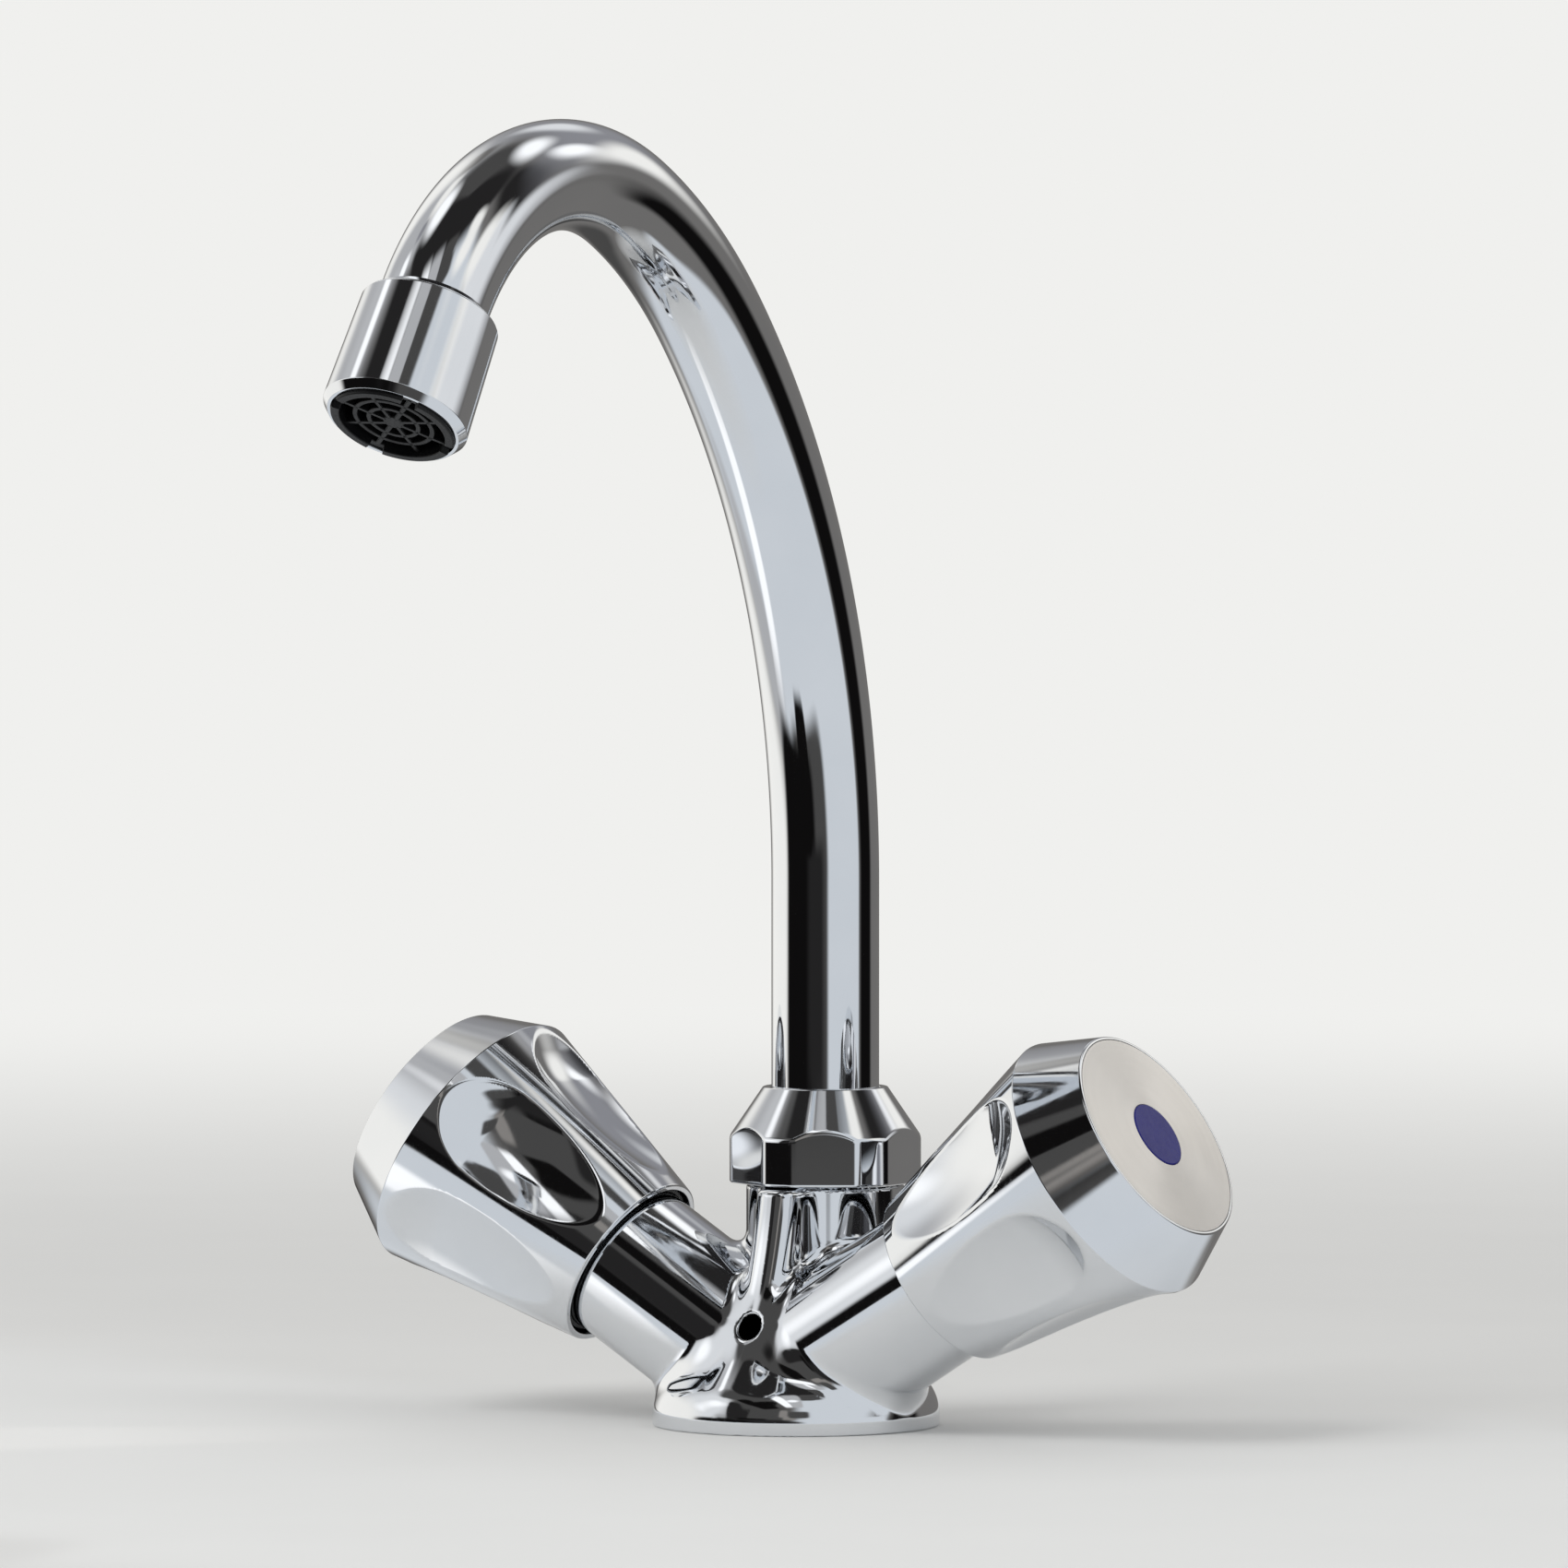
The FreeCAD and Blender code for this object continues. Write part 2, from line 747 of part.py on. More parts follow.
def end_cap():
    seat = handle_end_dia / 2 - cap_rim_wall - cap_gap
    bottom = handle_end - cap_seat_depth + face_gap
    skirt_outer = cap_skirt_dia / 2
    skirt = ring(skirt_outer, skirt_outer - cap_skirt_wall, bottom - cap_skirt_length, bottom)
    corner = vec(0, -cap_skirt_slot_width / 2, bottom - cap_skirt_length)
    slot = Part.makeBox(2 * skirt_outer, cap_skirt_slot_width, cap_skirt_slot_length, corner)
    skirt = skirt.cut(around(slot, cap_skirt_slots))
    plate = turned([
        (0, bottom),
        (seat, bottom),
        (seat, handle_end),
        (index_dia / 2, handle_end + cap_crown),
        (0, handle_end + cap_crown),
    ])
    above = handle_end + overshoot
    pocket = cylinder(index_dia / 2 + fit_gap, index_bottom() - face_gap, above)
    stem_hole = cylinder(index_stem_dia / 2 + fit_gap, bottom - overshoot, above)
    return plate.fuse(skirt).cut([pocket, stem_hole])


def index_bottom():
    return handle_end + cap_crown + index_stand_out - index_thickness


def index_button():
    bottom = index_bottom()
    head = cylinder(index_dia / 2, bottom, bottom + index_thickness)
    stem = cylinder(index_stem_dia / 2, bottom - index_stem_length, bottom)
    rim = [e for e in head.Edges if edge_ring(e, index_dia / 2, bottom + index_thickness)]
    return head.makeFillet(index_edge_round, rim).fuse(stem)


def headwork_levels():
    """Where the seal, the two discs and the spindle's flange start along the arm."""
    levels = {"seal": chamber_floor + face_gap}
    levels["fixed_disc"] = levels["seal"] + seat_seal_height + face_gap
    levels["rotating_disc"] = levels["fixed_disc"] + disc_thickness + face_gap
    levels["flange"] = levels["rotating_disc"] + disc_thickness + face_gap
    return levels


def headwork_housing():
    cavity_top = headwork_levels()["flange"] + spindle_flange_thickness + face_gap
    collar_bottom = arm_length + housing_ring_section + 2 * face_gap
    collar_top = collar_bottom + housing_collar_thickness
    hex_top = collar_top + housing_hex_height
    thread_bottom = arm_length - arm_thread_length + moving_gap
    barrel = cylinder(housing_barrel_dia / 2, housing_barrel_bottom, thread_bottom)
    thread = cylinder(arm_thread_dia / 2 - housing_thread_gap, thread_bottom, collar_bottom)
    collar = cylinder(housing_collar_dia / 2, collar_bottom, collar_top)
    nut = prism(6, housing_hex_flats, collar_top, hex_top)
    neck = cylinder(housing_neck_dia / 2, hex_top, housing_top)
    cavity = cylinder(housing_barrel_bore / 2, housing_barrel_bottom - overshoot, cavity_top)
    bore = cylinder(spindle_dia / 2 + running_gap, cavity_top, housing_top + overshoot)
    corner = vec(0, -window_width / 2, window_bottom)
    window = Part.makeBox(housing_barrel_dia, window_width, window_height, corner)
    body = barrel.fuse([thread, collar, nut, neck])
    return body.cut([cavity, bore] + around(window, disc_ports, window_phase_deg))


def housing_seal_ring():
    section = housing_ring_section
    centre_radius = arm_thread_dia / 2 + section / 2 + face_gap
    return round_seal(centre_radius, section, arm_length + face_gap + section / 2)


def seat_seal():
    seal = headwork_levels()["seal"]
    return ring(seat_seal_outer_dia / 2, seat_seal_inner_dia / 2, seal, seal + seat_seal_height)


def port_sector(bottom, top, centre_deg):
    """A fan-shaped port, used for both discs."""
    half = math.radians(disc_port_deg / 2)
    inner = disc_port_inner_radius
    outer = disc_port_outer_radius
    corners = []
    for radius in (inner, outer):
        for angle in (-half, 0, half):
            corners.append(vec(radius * math.cos(angle), radius * math.sin(angle), bottom))
    inner_arc = Part.Arc(corners[0], corners[1], corners[2]).toShape()
    first_side = Part.LineSegment(corners[2], corners[5]).toShape()
    outer_arc = Part.Arc(corners[5], corners[4], corners[3]).toShape()
    second_side = Part.LineSegment(corners[3], corners[0]).toShape()
    face = Part.Face(Part.Wire([inner_arc, first_side, outer_arc, second_side]))
    port = face.extrude(vec(0, 0, top - bottom))
    port.rotate(vec(0, 0, 0), Z_AXIS, centre_deg)
    return port


def ceramic_disc(bottom, first_port_deg, depth):
    top = bottom + disc_thickness
    plate = cylinder(disc_dia / 2, bottom, top)
    port = port_sector(bottom - overshoot, bottom + depth, first_port_deg)
    return plate.cut(around(port, disc_ports))


def fixed_disc():
    return ceramic_disc(headwork_levels()["fixed_disc"], 0.0, disc_thickness + overshoot)


def rotating_disc():
    """Shut at rest: its blind ports lie a quarter turn away from those of the fixed disc."""
    return ceramic_disc(headwork_levels()["rotating_disc"], 90.0, rotating_port_depth)


def spindle():
    flange_bottom = headwork_levels()["flange"]
    flange_top = flange_bottom + spindle_flange_thickness
    flange = cylinder(spindle_flange_dia / 2, flange_bottom, flange_top)
    shaft = cylinder(spindle_dia / 2, flange_top, spline_start)
    teeth = spline_profile(spindle_dia / 2, spindle_root_dia / 2, spline_start, spindle_top)
    tapped = cylinder(screw_dia / 2, spline_start - face_gap, spindle_top + overshoot)
    grooves = []
    ring_floor = spindle_dia / 2 + running_gap - fit_gap - spindle_ring_section
    for place in spindle_ring_places:
        half = spindle_groove_width / 2
        grooves.append(ring(spindle_dia, ring_floor, place - half, place + half))
    grooves.append(ring(spindle_dia, clip_groove_dia / 2, clip_bottom(), clip_bottom() + clip_thickness))
    return flange.fuse([shaft, teeth]).cut([tapped] + grooves)


def clip_bottom():
    return housing_top + running_gap


def spindle_clip():
    """Open spring clip in the spindle's groove, which holds it in the housing."""
    bottom = clip_bottom() + fit_gap
    top = clip_bottom() + clip_thickness - fit_gap
    hoop = ring(clip_outer_dia / 2, clip_groove_dia / 2 + fit_gap, bottom, top)
    half = math.radians(clip_opening_deg / 2)
    across = clip_outer_dia * math.cos(half)
    aside = clip_outer_dia * math.sin(half)
    below = bottom - overshoot
    apex = vec(0, 0, below)
    triangle = Part.makePolygon([apex, vec(across, aside, below), vec(across, -aside, below), apex])
    wedge = Part.Face(triangle).extrude(vec(0, 0, clip_thickness + 2 * overshoot))
    return hoop.cut(wedge)


def spindle_seal_rings():
    outer = spindle_dia / 2 + running_gap - fit_gap
    centre_radius = outer - spindle_ring_section / 2
    rings = [round_seal(centre_radius, spindle_ring_section, place) for place in spindle_ring_places]
    return Part.makeCompound(rings)


def guide_ring():
    inner = arm_dia / 2 + face_gap
    return ring(guide_ring_outer_dia / 2, inner, guide_ring_start, guide_ring_start + guide_ring_length)


ROOT_PARTS = {
    "mixer_body": mixer_body,
    "base_seal": base_seal,
    "spout_nut": spout_nut,
    "slip_ring": slip_ring,
    "spout_collar": spout_collar,
    "spout_seal_rings": spout_seal_rings,
    "spout_tube": spout_tube,
    "outlet_bush": outlet_bush,
    "aerator_shell": aerator_shell,
    "aerator_gasket": aerator_gasket,
    "aerator_insert": aerator_insert,
    "aerator_screen": aerator_screen,
}

ARM_PARTS = {
    "headwork_housing": headwork_housing,
    "housing_seal_ring": housing_seal_ring,
    "seat_seal": seat_seal,
    "fixed_disc": fixed_disc,
    "guide_ring": guide_ring,
    "rotating_disc": rotating_disc,
    "spindle": spindle,
    "spindle_seal_rings": spindle_seal_rings,
    "spindle_clip": spindle_clip,
    "spline_insert": spline_insert,
    "handle_screw": handle_screw,
    "handle": handle,
    "end_cap": end_cap,
    "index_button": index_button,
}


def save(name, shape):
    print(name, len(shape.Solids), "solid", round(shape.Volume, 1), "mm3", "valid", shape.isValid())
    shape.exportStep("parts/" + name + ".step")


for name, make in ROOT_PARTS.items():
    save(name, make())

for name, make in ARM_PARTS.items():
    cold = on_cold_arm(make())
    save("cold_" + name, cold)
    save("hot_" + name, mirrored(cold))
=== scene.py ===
# %% [markdown]
# A basin tap is mostly one material, polished chrome, so nearly everything that the eye
# reads comes from smooth shapes and from what they reflect. The CAD model fixes where each
# piece sits and how it moves. This script gives the same pieces finer surfaces, softer
# edges and real finishes, and then sets up a small studio round them.
#
# The first lines load the CAD model as the frame. The new pieces have to stay inside that
# size.

import json
import math

import bmesh
import bpy
import numpy as np
import openvdb
from mathutils import Matrix, Vector


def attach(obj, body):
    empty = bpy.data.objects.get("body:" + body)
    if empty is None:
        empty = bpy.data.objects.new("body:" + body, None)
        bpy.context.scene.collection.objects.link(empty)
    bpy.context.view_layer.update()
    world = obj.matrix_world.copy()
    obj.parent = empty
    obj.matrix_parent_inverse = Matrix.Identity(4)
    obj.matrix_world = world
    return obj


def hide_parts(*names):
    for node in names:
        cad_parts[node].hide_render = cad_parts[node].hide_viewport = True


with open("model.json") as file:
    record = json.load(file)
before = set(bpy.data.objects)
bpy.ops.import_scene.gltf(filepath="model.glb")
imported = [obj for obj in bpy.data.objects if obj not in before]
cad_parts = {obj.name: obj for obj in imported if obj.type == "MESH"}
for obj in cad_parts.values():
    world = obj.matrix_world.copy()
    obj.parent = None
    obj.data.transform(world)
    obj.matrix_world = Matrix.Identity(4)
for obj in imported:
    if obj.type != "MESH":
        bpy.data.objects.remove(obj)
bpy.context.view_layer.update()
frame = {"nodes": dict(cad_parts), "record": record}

# %% [markdown]
# Sizes are in millimetres here, as on a drawing, and become metres only when a mesh is
# made. They repeat the sizes of the CAD model, so that each new piece stands exactly where
# the piece that it replaces stood.

# %% Sizes shared by several pieces
MM = 0.001
COLUMN_Y = 9.6
ARM_RISE = math.radians(32.0)
ARM_ORIGIN = np.array([0.0, -2.8, 7.0])
ARM_RADIUS = 13.45
ARM_LENGTH = 41.5
CONE_LENGTH = 36.3
HANDLE_START = ARM_LENGTH - 5.5
HANDLE_RIDGE = HANDLE_START + CONE_LENGTH
HANDLE_END = HANDLE_RIDGE + 10.5
print("handles run from", HANDLE_START, "to", HANDLE_END, "along their arms")

# %% [markdown]
# Colours are written as the hex values that a paint program shows. The shader wants linear
# light, so one small function turns the one into the other. A second small function adds a
# node to any node tree and fills or links its inputs. Every material and every Geometry
# Nodes tree below is built with it.

# %% Colour and node helpers
def rgb(text):
    """Linear values, with alpha 1, of an sRGB hex colour."""
    parts = [int(text[i:i + 2], 16) / 255 for i in (1, 3, 5)]
    linear = [p / 12.92 if p <= 0.04045 else ((p + 0.055) / 1.055) ** 2.4 for p in parts]
    return (*linear, 1.0)


def add(tree, kind, inputs=None, **settings):
    """Adds a node. Inputs maps a socket's name or number to a value, a socket or a node."""
    node = tree.nodes.new(kind)
    for key, value in settings.items():
        setattr(node, key, value)
    for key, value in (inputs or {}).items():
        if isinstance(value, bpy.types.Node):
            value = next(output for output in value.outputs if output.enabled)
        if isinstance(value, bpy.types.NodeSocket):
            tree.links.new(value, node.inputs[key])
        else:
            node.inputs[key].default_value = value
    return node


def new_finish(name):
    """An empty material and the piece's own coordinates."""
    material = bpy.data.materials.new(name)
    material.use_nodes = True
    tree = material.node_tree
    tree.nodes.clear()
    return material, tree, add(tree, "ShaderNodeTexCoord").outputs["Object"]


print("mid grey in linear light", round(rgb("#808080")[0], 3))

# %% [markdown]
# Chrome plate is a thin, slightly blue mirror. On a real tap it is never perfect: the brass
# under it was polished by hand on soft wheels, so large surfaces wave by a few thousandths
# of a millimetre, and wiping leaves hair-thin marks. The wave bends reflections a little
# and the marks blur them a little. Both are noise here, read in the object's own
# coordinates so that they stay put when a piece turns. A casting waves most, and a drawn
# tube or a turned piece hardly at all, so each way of forming gets its own finish.
#
# Most finishes can be said in the same few numbers: two close colours and the size of the
# patches in which they drift, the size and stretch of a fine grain, how rough the surface is
# between and on its grains, and how deep they are. So one function makes them all. Blender
# counts in metres, so a noise with features of so many millimetres has the scale 1000
# divided by that number. Noise stays mostly between 0.3 and 0.7, and that middle part is
# spread over the range of values that the finish needs.

# %% Polished chrome plate
MIDDLE = {"From Min": 0.3, "From Max": 0.7}


def grained(name, colours, drift_mm, grain, rough, depth_mm, ripple=None, **surface):
    """Grain is (size in mm, detail, stretch), and ripple (size in mm, depth in mm)."""
    material, tree, place = new_finish(name)
    grain_mm, detail, stretch = grain
    drift = add(tree, "ShaderNodeTexNoise", {
        "Vector": place, "Scale": 1000 / drift_mm, "Detail": 3.0})
    drawn_out = add(tree, "ShaderNodeMapping", {"Vector": place, "Scale": stretch})
    marks = add(tree, "ShaderNodeTexNoise", {
        "Vector": drawn_out, "Scale": 1000 / grain_mm, "Detail": detail})
    colour = add(tree, "ShaderNodeMix", {
        0: drift, 6: rgb(colours[0]), 7: rgb(colours[1])}, data_type="RGBA")
    sheen = add(tree, "ShaderNodeMapRange", {
        "Value": marks, "To Min": rough[0], "To Max": rough[1], **MIDDLE})
    relief = add(tree, "ShaderNodeBump", {"Height": marks, "Distance": depth_mm / 1000})
    if ripple:
        wave = add(tree, "ShaderNodeTexNoise", {
            "Vector": place, "Scale": 1000 / ripple[0], "Detail": 1.5})
        relief = add(tree, "ShaderNodeBump", {
            "Height": wave, "Distance": ripple[1] / 1000, "Normal": relief})
    shader = add(tree, "ShaderNodeBsdfPrincipled", {
        "Base Color": colour, "Roughness": sheen, "Normal": relief, **surface})
    add(tree, "ShaderNodeOutputMaterial", {"Surface": shader})
    return material


CHROME = {"colours": ("#DFE2E6", "#E9EBEE"), "drift_mm": 14.0, "depth_mm": 0.00025,
          "grain": (0.9, 4.0, (1.0, 1.0, 0.12)), "Metallic": 1.0}
chrome_casting = grained(
    "Polished_chrome_on_cast_brass", rough=(0.03, 0.07), ripple=(9.0, 0.010), **CHROME)
chrome_handle = grained(
    "Polished_chrome_on_die_casting", rough=(0.03, 0.07), ripple=(11.0, 0.006), **CHROME)
chrome_tube = grained(
    "Polished_chrome_on_drawn_tube", rough=(0.02, 0.05), ripple=(16.0, 0.002), **CHROME)
chrome_turned = grained(
    "Polished_chrome_on_turned_brass", rough=(0.03, 0.06), ripple=(6.0, 0.002), **CHROME)
print("chrome finishes", [m.name for m in bpy.data.materials if "chrome_on" in m.name])

# %% [markdown]
# The discs in the handles' ends are plastic with a satin metal coat. They were spun while
# they were finished, so they carry fine rings round the middle, and light lies on them in
# soft wedges from the centre to the rim. Anisotropy gives exactly that: the highlight is
# pulled out across the rings. It needs a direction that follows the rings, which comes from
# the UV map of a turned piece, where U runs round it and V runs outwards in millimetres.

# %% Satin metal coat
satin, tree, place = new_finish("Satin_metal_coat_spun")
around = add(tree, "ShaderNodeUVMap", uv_map="turned")
rings = add(tree, "ShaderNodeMapping", {"Vector": around, "Scale": (2.0, 4.0, 0.0)})
grain = add(tree, "ShaderNodeTexNoise", {"Vector": rings, "Scale": 1.0})
patch = add(tree, "ShaderNodeTexNoise", {"Vector": place, "Scale": 1000 / 6.0})
colour = add(tree, "ShaderNodeMix", {
    0: patch, 6: rgb("#E9E6E2"), 7: rgb("#F1EEEA")}, data_type="RGBA")
sheen = add(tree, "ShaderNodeMapRange", {
    "Value": grain, "To Min": 0.28, "To Max": 0.36, **MIDDLE})
relief = add(tree, "ShaderNodeBump", {"Height": grain, "Distance": 0.002 / 1000})
along_rings = add(tree, "ShaderNodeTangent", direction_type="UV_MAP", uv_map="turned")
shader = add(tree, "ShaderNodeBsdfPrincipled", {
    "Base Color": colour, "Metallic": 0.9, "Roughness": sheen, "Normal": relief,
    "Anisotropic": 0.75, "Tangent": along_rings})
add(tree, "ShaderNodeOutputMaterial", {"Surface": shader})
print("nodes in", satin.name, len(tree.nodes))

# %% [markdown]
# Moulded plastic and rubber are dark or coloured, a little glossy, and faintly grained by
# the mould. The colour marks in the handles are a glossy blue for cold and red for hot.
# Bare brass, steel and ceramic are inside the tap. They show only when it is taken apart,
# but each still gets the finish that a lathe, a drawing die or a lapping plate leaves.

# %% Plastics, rubber, brass, steel and ceramic
def moulded(name, colours, grain_mm, depth_mm, rough, sheen=0.5):
    """Plastic, rubber or ceramic."""
    return grained(name, colours, 5.0, (grain_mm, 3.0, (1.0, 1.0, 1.0)), rough, depth_mm,
                   **{"Specular IOR Level": sheen})


def machined(name, colours, rough):
    """Bare metal with fine tool marks."""
    return grained(name, colours, 7.0, (0.35, 2.0, (0.1, 0.1, 1.0)), rough, 0.004, Metallic=1.0)


black_plastic = moulded(
    "Black_moulded_plastic", ("#09090A", "#111113"), 0.30, 0.010, (0.36, 0.50), sheen=0.3)
white_plastic = moulded(
    "White_moulded_plastic", ("#DAD9D4", "#E8E7E2"), 0.35, 0.008, (0.40, 0.52))
rubber = moulded("Black_sealing_rubber", ("#131313", "#1D1D1C"), 0.22, 0.010, (0.55, 0.70))
ceramic = moulded("Lapped_white_ceramic", ("#E4E2DC", "#EFEEE9"), 0.60, 0.001, (0.10, 0.18))
gloss_blue = moulded(
    "Blue_gloss_plastic", ("#0A0A66", "#12127A"), 0.80, 0.004, (0.22, 0.30), sheen=0.25)
gloss_red = moulded(
    "Red_gloss_plastic", ("#9A0E12", "#AE1619"), 0.80, 0.004, (0.22, 0.30), sheen=0.25)
brass = machined("Machined_brass", ("#C9A55C", "#D8B76F"), (0.22, 0.34))
steel = machined("Bright_steel", ("#B9BABB", "#C9CACB"), (0.20, 0.32))
print("materials in the file, with those of the CAD model", len(bpy.data.materials))

# %% [markdown]
# Every CAD node keeps its place and gets the finish of its slot in the record. Most of the
# nodes that show are replaced further down by finer meshes of the same size.

# %% Finishes for the CAD nodes
FINISH_OF_SLOT = {
    "chrome": chrome_turned, "satin_cap": satin, "index_blue": gloss_blue,
    "index_red": gloss_red, "black_plastic": black_plastic, "white_plastic": white_plastic,
    "seal_rubber": rubber, "brass": brass, "steel": steel, "disc_ceramic": ceramic,
}
for part in frame["record"]["subparts"]:
    mesh = frame["nodes"][part["node"]].data
    mesh.materials.clear()
    mesh.materials.append(FINISH_OF_SLOT[part["material_slot"]])

# %% [markdown]
# Numbers become pieces in two steps. A shape is a small dictionary of points, faces, and a
# normal for each corner of each face. Exact normals matter on a mirror: one that is off by
# half a degree moves a reflection by a degree. A place is a turn and an origin. Carrying a
# shape to a mirrored place would turn it inside out, so its faces are turned round there.

# %% From a shape to a piece
def put(shape, place):
    """Carries a shape to its place."""
    turn, origin = place
    moved = {"points": shape["points"] @ turn.T + origin, "faces": shape["faces"]}
    moved["normals"] = [corners @ turn.T for corners in shape["normals"]]
    moved["uvs"] = shape["uvs"]
    if np.linalg.det(turn) < 0:
        for key in ("faces", "normals", "uvs"):
            moved[key] = [corners[::-1] for corners in moved[key]]
    return moved


def joined(shapes):
    """Several shapes as one, with their points numbered on."""
    whole = {"points": np.concatenate([s["points"] for s in shapes]), "faces": []}
    start = 0
    for shape in shapes:
        whole["faces"] += [[v + start for v in face] for face in shape["faces"]]
        start += len(shape["points"])
    for key in ("normals", "uvs"):
        whole[key] = [corners for s in shapes for corners in s[key]]
    return whole


def shape_to_mesh(name, shape):
    """A mesh in metres from a shape in millimetres."""
    mesh = bpy.data.meshes.new(name)
    mesh.from_pydata((shape["points"] * MM).tolist(), [], shape["faces"])
    layer = mesh.uv_layers.new(name="turned")
    layer.data.foreach_set("uv", np.concatenate(shape["uvs"]).astype(np.float32).ravel())
    mesh.shade_smooth()
    mesh.normals_split_custom_set(np.concatenate(shape["normals"]).tolist())
    return mesh


def mesh_to_shape(mesh):
    """A shape from a mesh whose numbers are millimetres."""
    faces = [list(face.vertices) for face in mesh.polygons]
    normals = [np.repeat([list(face.normal)], len(face.vertices), 0) for face in mesh.polygons]
    points = np.array([list(vertex.co) for vertex in mesh.vertices])
    return {"points": points, "faces": faces, "normals": normals,
            "uvs": [np.zeros((len(face), 2)) for face in faces]}


def add_object(name, data):
    """Puts a mesh, a lamp or a camera in the scene."""
    thing = bpy.data.objects.new(name, data)
    bpy.context.scene.collection.objects.link(thing)
    return thing


def add_piece(name, mesh, finish, body, nodes, slot):
    """Puts a mesh in the scene, on its body, in place of the CAD nodes named."""
    mesh.materials.clear()
    mesh.materials.append(finish)
    piece = add_object(name, mesh)
    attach(piece, body)
    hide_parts(*nodes)
    solid = bmesh.new()
    solid.from_mesh(mesh)
    volume = solid.calc_volume(signed=True) / MM ** 3
    loose_edges = sum(not edge.is_manifold for edge in solid.edges)
    solid.free()
    print(f"{name}: {len(mesh.polygons)} faces, {volume:.0f} mm3, {loose_edges} open edges")
    assert volume > 0, name + " is inside out"


def add_shape(name, shape, place, *facts):
    """Carries a shape to its place and adds it as a piece."""
    add_piece(name, shape_to_mesh(name, put(shape, place)), *facts)


print("a millimetre is", MM, "of the scene's units")

# %% [markdown]
# Three places recur: the upright column, the slanted arms and the spout's outlet. Pieces
# are drawn along Z and then carried there. The hot arm is the mirror of the cold one.

# %% Places on the column and the arms
ON_COLUMN = (np.eye(3), np.array([0.0, COLUMN_Y, 0.0]))
LEAN = math.pi / 2 - ARM_RISE
ARM_TURN = np.array([
    [math.cos(LEAN), 0.0, math.sin(LEAN)],
    [0.0, 1.0, 0.0],
    [-math.sin(LEAN), 0.0, math.cos(LEAN)]])
MIRROR = np.diag([-1.0, 1.0, 1.0])
ARMS = {"cold": (ARM_TURN, ARM_ORIGIN), "hot": (MIRROR @ ARM_TURN, ARM_ORIGIN)}
print("the cold arm points along", ARM_TURN[:, 2].round(3))

# %% [markdown]
# A turned piece is a flat outline spun round an axis, as on a lathe. Real edges are never
# sharp, and a sharp edge in a mesh catches no light, so the outline's corners are rounded
# first. The outline goes up the outside and down the inside, which puts the outside of the
# piece on its right. Each outline point carries its own exact direction, so a flat stays
# flat right up to its rounded edge.

# %% Outlines and lofts
def rounded_outline(corners, steps=4):
    """Points and directions of a closed outline of corners (radius, height, rounding)."""
    places = [np.array(corner[:2], float) for corner in corners]
    points = []
    directions = []
    for k, here in enumerate(places):
        into = here - places[k - 1]
        out = places[(k + 1) % len(places)] - here
        into, out = into / np.linalg.norm(into), out / np.linalg.norm(out)
        first, last = np.array([into[1], -into[0]]), np.array([out[1], -out[0]])
        turn = math.acos(max(-1.0, min(1.0, float(into @ out))))
        rounding = corners[k][2]
        if rounding == 0:
            points += [here, here]
            directions += [first, last]
            continue
        convex = 1 if into[0] * out[1] - into[1] * out[0] > 0 else -1
        middle = here - convex * (first + last) * rounding / (1 + math.cos(turn))
        for i in range(steps + 1):
            way = first * math.sin((1 - i / steps) * turn) + last * math.sin(i / steps * turn)
            way = way / np.linalg.norm(way)
            points.append(middle + convex * way * rounding)
            directions.append(way)
    return np.array(points), np.array(directions)


def even_angles(count):
    return 2 * math.pi * np.arange(count) / count


def spin(outline, directions, columns):
    """Rows of points and normals from an outline spun round Z."""
    angles = even_angles(columns)
    rows = []
    for flat in (outline, directions):
        x, y = np.outer(flat[:, 0], np.cos(angles)), np.outer(flat[:, 0], np.sin(angles))
        rows.append(np.stack([x, y, np.repeat(flat[:, 1:], columns, 1)], 2))
    return rows


def loft(points, normals):
    """Closes rows of points into a skin. Points that coincide are merged."""
    rows, columns = points.shape[:2]
    run = np.linalg.norm(np.diff(points[:, 0], axis=0), axis=1)
    height = np.concatenate([[0.0], np.cumsum(run)])
    flat, bent = points.reshape(-1, 3), normals.reshape(-1, 3)
    key = np.round(flat, 4) + 0.0  # the sum turns -0 into 0
    _, first, group = np.unique(key, axis=0, return_index=True, return_inverse=True)
    group = group.ravel()
    i, j = np.meshgrid(np.arange(rows), np.arange(columns), indexing="ij")
    n, m = (i + 1) % rows, (j + 1) % columns
    quads = [i * columns + j, i * columns + m, n * columns + m, n * columns + j]
    quads = np.stack(quads, 2).reshape(-1, 4)
    u = np.stack([j, j + 1, j + 1, j], 2).reshape(-1, 4) / columns
    v = np.stack([height[i], height[i], height[n], height[n]], 2).reshape(-1, 4)
    shape = {"points": flat[first], "faces": [], "normals": [], "uvs": []}
    for quad, joint, across, up in zip(quads, group[quads], u, v):
        kept = [c for c in range(4) if joint[c] != joint[c - 1]]
        if len(kept) > 2:
            shape["faces"].append(joint[kept].tolist())
            shape["normals"].append(bent[quad[kept]])
            shape["uvs"].append(np.column_stack([across[kept], up[kept]]))
    return shape


def turned(corners, columns):
    """A turned shape, along Z."""
    return loft(*spin(*rounded_outline(corners), columns))


coin = turned([(3.0, 0.0, 0.5), (3.0, 2.0, 0.5), (0.0, 2.0, 0), (0.0, 0.0, 0)], 48)
print("a turned coin, as a trial, has", len(coin["faces"]), "faces")

# %% [markdown]
# Some surfaces are easiest to say as a distance: a function that is negative inside the
# metal, positive outside and zero on the skin. Two such solids join or cut each other by
# taking the smaller or the larger distance, and a round version of the same rule leaves a
# fillet or a rounded edge of a chosen radius. The slope of the distance is the exact
# normal, which is just what a mirror finish needs.

